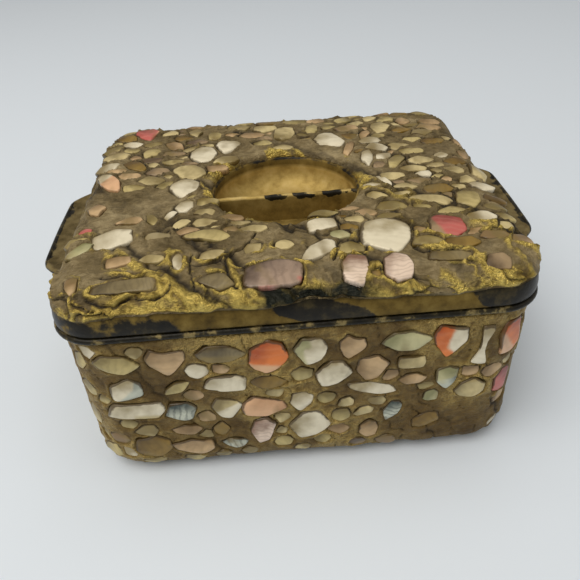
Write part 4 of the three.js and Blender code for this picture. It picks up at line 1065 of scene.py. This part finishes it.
# Along the rib, from 9 mm left of the middle to the right end, the paint flaked off in ragged bits
FLAKED_FROM = -9
on_rib = (np.abs(y - RIB_Y) < 1.6) & in_well & (z > RIB_TOP - 2.2)
in_bits = 0.35 + 0.5 * lumps(lid_points * (1, 0.2, 1), 1.8, 91)
flaked = on_rib * np.clip((x - FLAKED_FROM) / 2, 0, 1) * in_bits
flaked -= 0.12 * (z > RIB_TOP - 0.25)
gilding = gilded_material()
lid_piece = make_piece("gilded_lid", lid_points, lid_faces, gilding, {"wash_and_shade": lid_wash_and_shade, "flaked": flaked})
lid_piece.data.set_sharp_from_angle(angle=math.radians(50))
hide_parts("tin_lid")

# The chips on the lid. They were pressed into thicker, stiffer putty than on the wall, so many
# lie aslant and half covered.
lid_rise = np.array([(0, 68.9), (0, 69.4), (0.2, 71.4), (0.75, 72.55), (1.4, 73.4), (2.4, 74.3), (3.6, 75),
                     (5, 75.65), (6.6, 76.1), (8.6, 76.42), (11, TOP_HEIGHT)])


def lid_height(inset):
    """Height of the lid's coat at a distance in from the rim"""
    return np.interp(inset, lid_rise[1:, 0], lid_rise[1:, 1])


def on_lid(x, y):
    """Spot and axes on the lid's coat at a place seen from above"""
    past = np.array([abs(x) - (LID_HALF_WIDTH - LID_CORNER), abs(y) - (LID_HALF_DEPTH - LID_CORNER)])
    sign = np.sign([x, y])
    if past.min() > 0:
        away = math.hypot(*past)
        inset, inward = LID_CORNER - away, -sign * past / away
    else:
        inset = LID_CORNER - past.max()
        inward = -sign * (past == past.max())
    rise = (lid_height(inset + 2) - lid_height(inset - 2)) / 4
    normal = np.array([*(-rise * inward), 1.0])
    normal /= np.linalg.norm(normal)
    side = np.cross(normal, [1, 0, 0])
    side /= np.linalg.norm(side)
    return np.array([x, y, lid_height(inset)]), np.stack([np.cross(side, normal), side, normal], axis=1)


# Chips that show best: name, stone, x, y, length, width, turn, outline
lid_table = [
    ("corner_crimson", "crimson", -55.6, 51.6, 10.6, 9.6, 100, "heart"),
    ("round_white", "white", -31, 28.4, 13.6, 9.8, 88, "pebble"),
    ("wedge_white", "white", -21.4, 35, 10.6, 9.6, 82, "wedge"),
    ("edge_rust", "salmon", -65.6, 10.4, 15.4, 7, -62, "pebble"),
    ("arch_cream", "cream", -35.6, 12.8, 11.6, 9.6, -40, "slab"),
    ("shell_white", "white", -36.2, 0.6, 11.6, 10, 84, "drop"),
    ("curl_white", "white", -57.6, -31, 12.4, 9.6, 24, "slab"),
    ("wedge_olive", "olive", -27.4, -33, 13.6, 5.4, -4, "wedge"),
    ("slab_grey", "grey", -50, -57, 19.6, 4.8, 2, "bar"),
    ("shard_grey", "grey", -23, -57.6, 11, 6, -16, "sliver"),
    ("pearl_mauve", "mauve", -7.4, -56, 16.4, 10.6, 4, "slab"),
    ("back_cream", "cream", 2.4, 44, 12, 8.4, 78, "pebble"),
    ("kite_white", "white", 20.2, 34, 13, 11.4, 130, "wedge"),
    ("back_wedge", "cream", 42.4, 42.6, 10.4, 8, 76, "wedge"),
    ("edge_cream", "cream", 71.2, 0, 11, 6.4, 86, "slab"),
    ("bar_long", "cream", 48, -20.4, 14, 4.8, -20, "bar"),
    ("wedge_bright", "white", 9.8, -31.2, 9.4, 6.8, 20, "slab"),
    ("slab_large", "white", 29, -39.4, 16.6, 14.6, 72, "slab"),
    ("heart_crimson", "crimson", 48.6, -37, 11.4, 10.6, 76, "slab"),
    ("fin_white", "white", 7.4, -45.6, 12.6, 6.8, 42, "wedge"),
    ("pearl_striped", "pearl", 16.8, -56.4, 12, 7, 84, "slab"),
    ("pearl_faceted", "pearl", 29.2, -56.6, 10.6, 9, 80, "pebble"),
    ("front_rose", "dusk", 58.6, -58, 7, 5.8, -10, "slab"),
]
# Smaller ones, half buried: stone, x, y, length, width, turn
lid_small = [
    ("cream", -35.4, 51.4, 8.4, 6.2, 84), ("olive", -27, 46.6, 7, 5.4, 100),
    ("beige", -43.6, 39, 9, 5.6, 120), ("olive", -52.4, 33, 9, 7, 60),
    ("ochre", -56.8, 22, 11, 6.6, 130), ("beige", -66.6, -10, 8, 6.4, 90),
    ("white", -35.6, -12.4, 8, 6, 70), ("cream", -28.6, -17.4, 7, 4, -10), ("beige", -19.8, -30, 5, 3.6, 0),
    ("cream", -12.4, -30.4, 9, 4.2, -4), ("cream", -25.4, -43.8, 9.6, 5.6, 20),
    ("white", -35.4, -46, 9, 3.4, 100),
    ("beige", -53.4, -44, 8, 5, 20), ("cream", -44, -44, 8, 4, 0), ("beige", -66, -54, 7, 4, 100),
    ("cream", -12.8, -42, 7, 6, 40), ("olive", 14, 46, 9, 5, 70), ("beige", 16.6, 56, 8, 5, 0),
    ("cream", 39.6, 53, 7, 5.4, 70), ("beige", 35, 37, 9, 4, 66), ("cream", 58.6, 36, 8.4, 6, 0),
    ("beige", 53.6, 49, 6, 6, 0), ("white", 38, 24, 8.6, 5.4, -20), ("white", 32.6, 15, 12, 4.6, 84),
    ("olive", 42.6, 10.6, 11, 5, 60), ("white", 60.6, 13, 6.6, 4.6, 0), ("beige", 70, 14, 7, 4.6, 84),
    ("cream", 39, -1, 9, 4.6, 6), ("cream", 62, 0.6, 8, 4.6, -30), ("white", 50.4, -1, 6, 4.4, 0),
    ("cream", 41.6, -10, 9, 5, -6), ("cream", 31, -15, 8, 5, -30), ("olive", 60.6, -21, 9.6, 8, 70),
    ("cream", 64, -8, 6, 5, 30), ("cream", 20.6, -29.4, 6.4, 4, -10), ("cream", 67.6, -39, 7, 4.6, 50),
    ("green", 14.6, -37.6, 7, 4, -10), ("grey", 45, -54, 13, 4.6, -4), ("beige", 46.5, 61.6, 9, 6, 0),
    ("cream", -64.6, 57.4, 8, 6, 40), ("beige", 71.6, 26, 8, 5, 90),
    ("olive", 28.5, 54, 8, 6, 10), ("beige", 27, 25, 12, 3, 70), ("beige", 57.5, -6, 4, 4, 0),
    ("white", 35, -4, 9, 3.4, 118), ("beige", 20, -22.5, 8, 3, 4), ("cream", -3, -41, 6, 5, 20),
    ("crimson", -67.8, -24.8, 5, 4.6, 70), ("green", -67.5, -36, 9, 6, 30), ("beige", -54, -20, 9, 4, 10),
    ("olive", -46, -20, 8, 3.4, -70), ("cream", -36, -24, 7, 4, 40), ("white", -40, -18, 6, 2.6, 60),
    ("beige", -19.5, -22.5, 9, 4, -12), ("cream", -46, 52, 7, 5, 30), ("olive", 11, -24.5, 10, 4, 4),
]
lid_chips = set_named(lid_table, on_lid, 201, proud=-0.75, film=-0.7)
lid_buried = set_small(lid_small, on_lid, 260, proud=-0.85, film=-0.3)


def on_open_top(x, y):
    """True on the lid's top, clear of the well, the rim and the stretches of open putty"""
    inset = min(LID_HALF_WIDTH - abs(x), LID_HALF_DEPTH - abs(y))
    smeared = -70 < x < -40 and -30 < y < 4
    folded = -72 < x < 12 and y < -33 or x > 36 and y < -47
    return math.hypot(x, y) > 30.5 and inset > 5 and not smeared and not folded


lid_buried += fit_between(lid_chips + lid_buried, on_lid, (-71, -60), (71, 60), room=0.7, smallest=1.6,
                          widest=3.6, stretch=1.75, share=0.88, seed=9000, proud=-0.95, film=-0.1,
                          allowed=on_open_top)

# The coat on the lid: the same putty laid on stiff and pushed about with a stick, so that it
# stands in crinkled ridges round the chips. Bronze paint caught the ridges and the shoulder.
LID_LIP = 0.8
LID_CREASE = 0.8
SHOULDER_ROWS = 34
TOP_ROWS = 86
EDGE_ROLL = 1.3

angles = spread(0.5, 1.0)
columns = len(angles)
rise_length = np.concatenate([[0], np.cumsum(np.linalg.norm(np.diff(lid_rise, axis=0), axis=1))])
rim_x, rim_y = ring(LID_HALF_WIDTH, LID_HALF_DEPTH, LID_CORNER, angles)
rim = np.stack([rim_x, rim_y, np.zeros(columns)], axis=1)
ragged = 0.9 + 0.8 * lumps(rim, 9, 31) + 0.45 * lumps(rim, 3, 32)
# In the middle of the front the putty broke away from the rim
broken_away = np.clip((rim_x + 11) / 4, 0, 1) * np.clip((17 - rim_x) / 5, 0, 1) * (rim_y < 0)
ragged = np.clip(ragged + broken_away * (0.9 + 0.7 * lumps(rim, 4, 33)), 0, 6)

# Where the putty tore as it was pushed about: paths in mm, from left to right or from back to front
tears = [
    [(-57, -50.5), (-52.5, -52), (-48, -52.5), (-44, -50.5), (-38.5, -50)],
    [(-60, -59.5), (-56.5, -61.5), (-52.5, -62), (-48.5, -61), (-39, -60), (-36.5, -58)],
    [(-38.5, -49), (-34.5, -47), (-28, -49), (-22.5, -47), (-18, -42.5), (-10, -32)],
    [(-44, -27), (-41, -29), (-38, -26), (-34, -29)],
    [(-31.5, -44), (-31, -50), (-29.5, -60)],
    [(-20, -48.5), (-18.5, -55.5), (-16.5, -60)],
    [(12, -50), (13, -47), (17, -48), (21.5, -50.5), (21, -56), (18.5, -62)],
    [(37, -48.5), (39, -51.5), (43.5, -51), (51, -49.5)],
    [(55, -39.5), (57.5, -41.5), (61, -42), (69, -37)],
]


def tear_distance(spots, path):
    """Distance of each spot from a path, negative on its right-hand side"""
    best, signed = np.full(len(spots), FAR), np.full(len(spots), FAR)
    for start, end in zip(path, path[1:]):
        run = end - start
        from_start = spots - start
        share = np.clip(from_start @ run / (run @ run), 0, 1)
        away = np.linalg.norm(from_start - share[:, None] * run, axis=1)
        side = np.sign(run[0] * from_start[:, 1] - run[1] * from_start[:, 0])
        signed = np.where(away < best, away * side, signed)
        best = np.minimum(best, away)
    return signed


def skin_at(inset, z):
    """Net points at a distance in from the rim and a height, for each ray"""
    x, y = ring(LID_HALF_WIDTH - inset, LID_HALF_DEPTH - inset, np.maximum(LID_CORNER - inset, 2), angles)
    return np.stack([x, y, z + np.zeros(columns)], axis=1)


def circle_at(radius, z):
    """Net points on a level circle round the well, one for each ray"""
    return np.stack([radius * np.cos(angles), radius * np.sin(angles), np.full(columns, z)], axis=1)


lid_coat = []
for step in np.linspace(0, 1, SHOULDER_ROWS):
    walked = ragged + (rise_length[-1] - ragged) * step
    inset = np.interp(walked, rise_length, lid_rise[:, 0])
    z = np.interp(walked, rise_length, lid_rise[:, 1])
    tin_inset = LID_HALF_WIDTH - np.interp(z, [p[1] for p in lid_skin], [p[0] for p in lid_skin]) - 0.15
    from_edge = np.clip((walked - ragged) / EDGE_ROLL, 0, 1)
    full = np.sqrt(1 - (1 - from_edge) ** 2)
    lid_coat.append(skin_at(inset * full + tin_inset * (1 - full), z))
mouth = circle_at(WELL_RADIUS + 3.6, TOP_HEIGHT)
for step in np.linspace(0, 1, TOP_ROWS)[1:]:
    lid_coat.append(lid_coat[SHOULDER_ROWS - 1] * (1 - step) + mouth * step)
for radius, z in ((28.4, 76.35), (27.5, 75.75), (27.0, 75.1), (26.8, 74.4), (26.75, 73.6), (26.85, 72.7)):
    lid_coat.append(circle_at(radius, z))
outer_rows = len(lid_coat)
under = [circle_at(27.2, PLATE_TOP + TIN_GAP)]
for reach, z in lid_skin[:4:-1]:
    under.append(skin_at(LID_HALF_WIDTH - reach - 0.2, min(z + TIN_GAP, PLATE_TOP + TIN_GAP)))
edge_z = lid_coat[0][:, 2]
for row in under[1:]:
    row[:, 2] = np.maximum(row[:, 2], edge_z + 0.05)
lid_coat = np.array(lid_coat + under)
lid_out = outward(lid_coat)[:outer_rows].reshape(-1, 3)
skin = lid_coat[:outer_rows].reshape(-1, 3)

nearest, second, over = press(skin, lid_chips + lid_buried)
lip, between, crease, bed = squeezed(skin, nearest, second, 0.9, 61)
warped = skin + 3.0 * np.stack([lumps(skin, 5.5, s) for s in (41, 42, 43)], axis=1)
pulled = warped * (0.5, 1.15, 1)
ridges = (1 - np.abs(lumps(pulled, 7, 44))) ** 7
crinkles = (1 - np.abs(lumps(pulled, 3.4, 45))) ** 5
px, py, pz = skin.T
smear = np.clip((-38 - px) / 6, 0, 1) * np.clip((py + 30) / 8, 0, 1) * np.clip((6 - py) / 8, 0, 1)
rough_share = (1 - 0.7 * smear) * (0.6 + 0.4 * np.clip((20 - py) / 30, 0, 1))
from_front = np.clip((-py - 36) / 10, 0, 1)
worms = (1 - np.abs(lumps(warped + 0.5 * lumps(skin, 1.5, 52)[:, None], 2.1, 51))) ** 3
in_mouth = np.clip((30.5 - np.hypot(px, py)) / 2, 0, 1)
crest = rough_share * (0.6 * ridges + 0.35 * crinkles + 0.9 * between) + LID_LIP * lip
low_front = np.clip((-py - 50) / 6, 0, 1)
crest += (0.75 * low_front + 0.6 * in_mouth) * worms * (nearest > 0)
split = np.zeros(len(skin))
# The putty was folded over here and there: a thin crest with a gaping split along its near side, the split
# painted dark as painted shade
for size, seed in ((8, 50), (5, 54)):
    fold = lumps(pulled, size, seed) + 0.08 * lumps(skin, 1.6, 55)
    crest += 0.9 * rough_share * np.exp(-(fold / 0.11) ** 2)
    split = np.maximum(split, 0.8 * rough_share * np.exp(-((fold + 0.2) / 0.07) ** 2))
wander = [1.1 * lumps(skin, 3, seed) + 0.5 * lumps(skin, 1.4, seed) for seed in (56, 57)]
frayed = skin[:, :2] + np.stack(wander, axis=1)
uneven = np.clip(0.75 + lumps(skin, 5, 59), 0.3, 1.1)
for path in tears:
    across = tear_distance(frayed, np.array(path))
    flank = np.where(across > 0, 1.5, 0.45)
    crest = np.maximum(crest, 1.5 * np.exp(-(across / flank) ** 2) * uneven)
    split = np.maximum(split, np.exp(-((across + 0.75) / 0.36) ** 2))
split *= np.clip(nearest + 0.9, 0, 1)
heights = crest + 0.3 * lumps(skin, 12, 46) - 1.1 + 0.16 * lumps(skin, 1.6, 47)
heights -= LID_CREASE * np.maximum(crease, 1.3 * split)
# Painted shade: the pits between the worm crests at the front are painted dark without being sunk, and the
# splits and creases are painted dark too
pits = np.clip(0.5 - worms, 0, 1) * np.clip(0.2 + lumps(skin, 6, 53), 0, 1) * low_front
crease = np.maximum(crease, np.maximum(split, pits))
heights = heights * (1 - bed) - 1.9 * bed
fade = np.ones(outer_rows)
fade[:4] = (0.15, 0.4, 0.7, 0.9)
fade[-6:] = (0.9, 0.7, 0.55, 0.4, 0.3, 0.1)
heights *= np.repeat(fade, columns)
moved = skin + lid_out * heights[:, None]
# The tallest crests are eased down under the top of the solids
EASED = 0.3
eased_from = cad_box[1][2] / MM - 0.05 - EASED
over_top = moved[:, 2] - eased_from
moved[:, 2] = np.where(over_top > 0, eased_from + EASED * np.tanh(over_top / EASED), moved[:, 2])
coat_points = np.concatenate([moved, lid_coat[outer_rows:].reshape(-1, 3)])
hidden = np.zeros(len(coat_points) - len(moved))
front_shoulder = np.clip((-py - 58) / 3, 0, 1) + 0.6 * np.clip((74 - pz) / 3, 0, 1)
golden = np.clip(crest - 0.5, 0, 1.5) * (0.35 + 0.9 * np.maximum(from_front, in_mouth))
behind_mouth = np.clip((33 - np.hypot(px, py)) / 3, 0, 1) * np.clip(py / 12, 0, 1)
knobs = np.clip(0.6 + lumps(skin, 5, 60), 0, 1)
gilt = golden - 0.12 + 0.8 * behind_mouth * knobs + 0.55 * front_shoulder
gilt = np.clip(gilt + 0.3 * lumps(skin, 9, 48), 0, 1)
drift = px + 5 * lumps(skin, 6, 58)
bare_patch = np.clip((drift + 15) / 5, 0, 1) * np.clip((21 - drift) / 6, 0, 1) * (py < -50)
bare_edge = bare_patch * np.clip((75.6 - pz + 0.8 * lumps(skin, 5, 49)) / 1.5, 0, 1)
gilded_putty = putty_material("gilded_crinkled_putty", "#4f4225", "#776848", "#a0906d", "#5f4c1c",
                              "#d6bd66", 0.58, 0.8)
coat_faces = net(len(lid_coat), columns, True)
lid_coat_piece = make_piece("gilded_lid_putty", coat_points, coat_faces, gilded_putty, {
    "crease": np.concatenate([np.clip(crease, 0, 1), hidden]),
    "gilt": np.concatenate([gilt, hidden]),
    "bare": np.concatenate([np.clip(bare_edge, 0, 1), hidden]),
})
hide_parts("lid_putty")
set_flakes("lid", lid_chips)
set_small_flakes("lid", lid_buried)
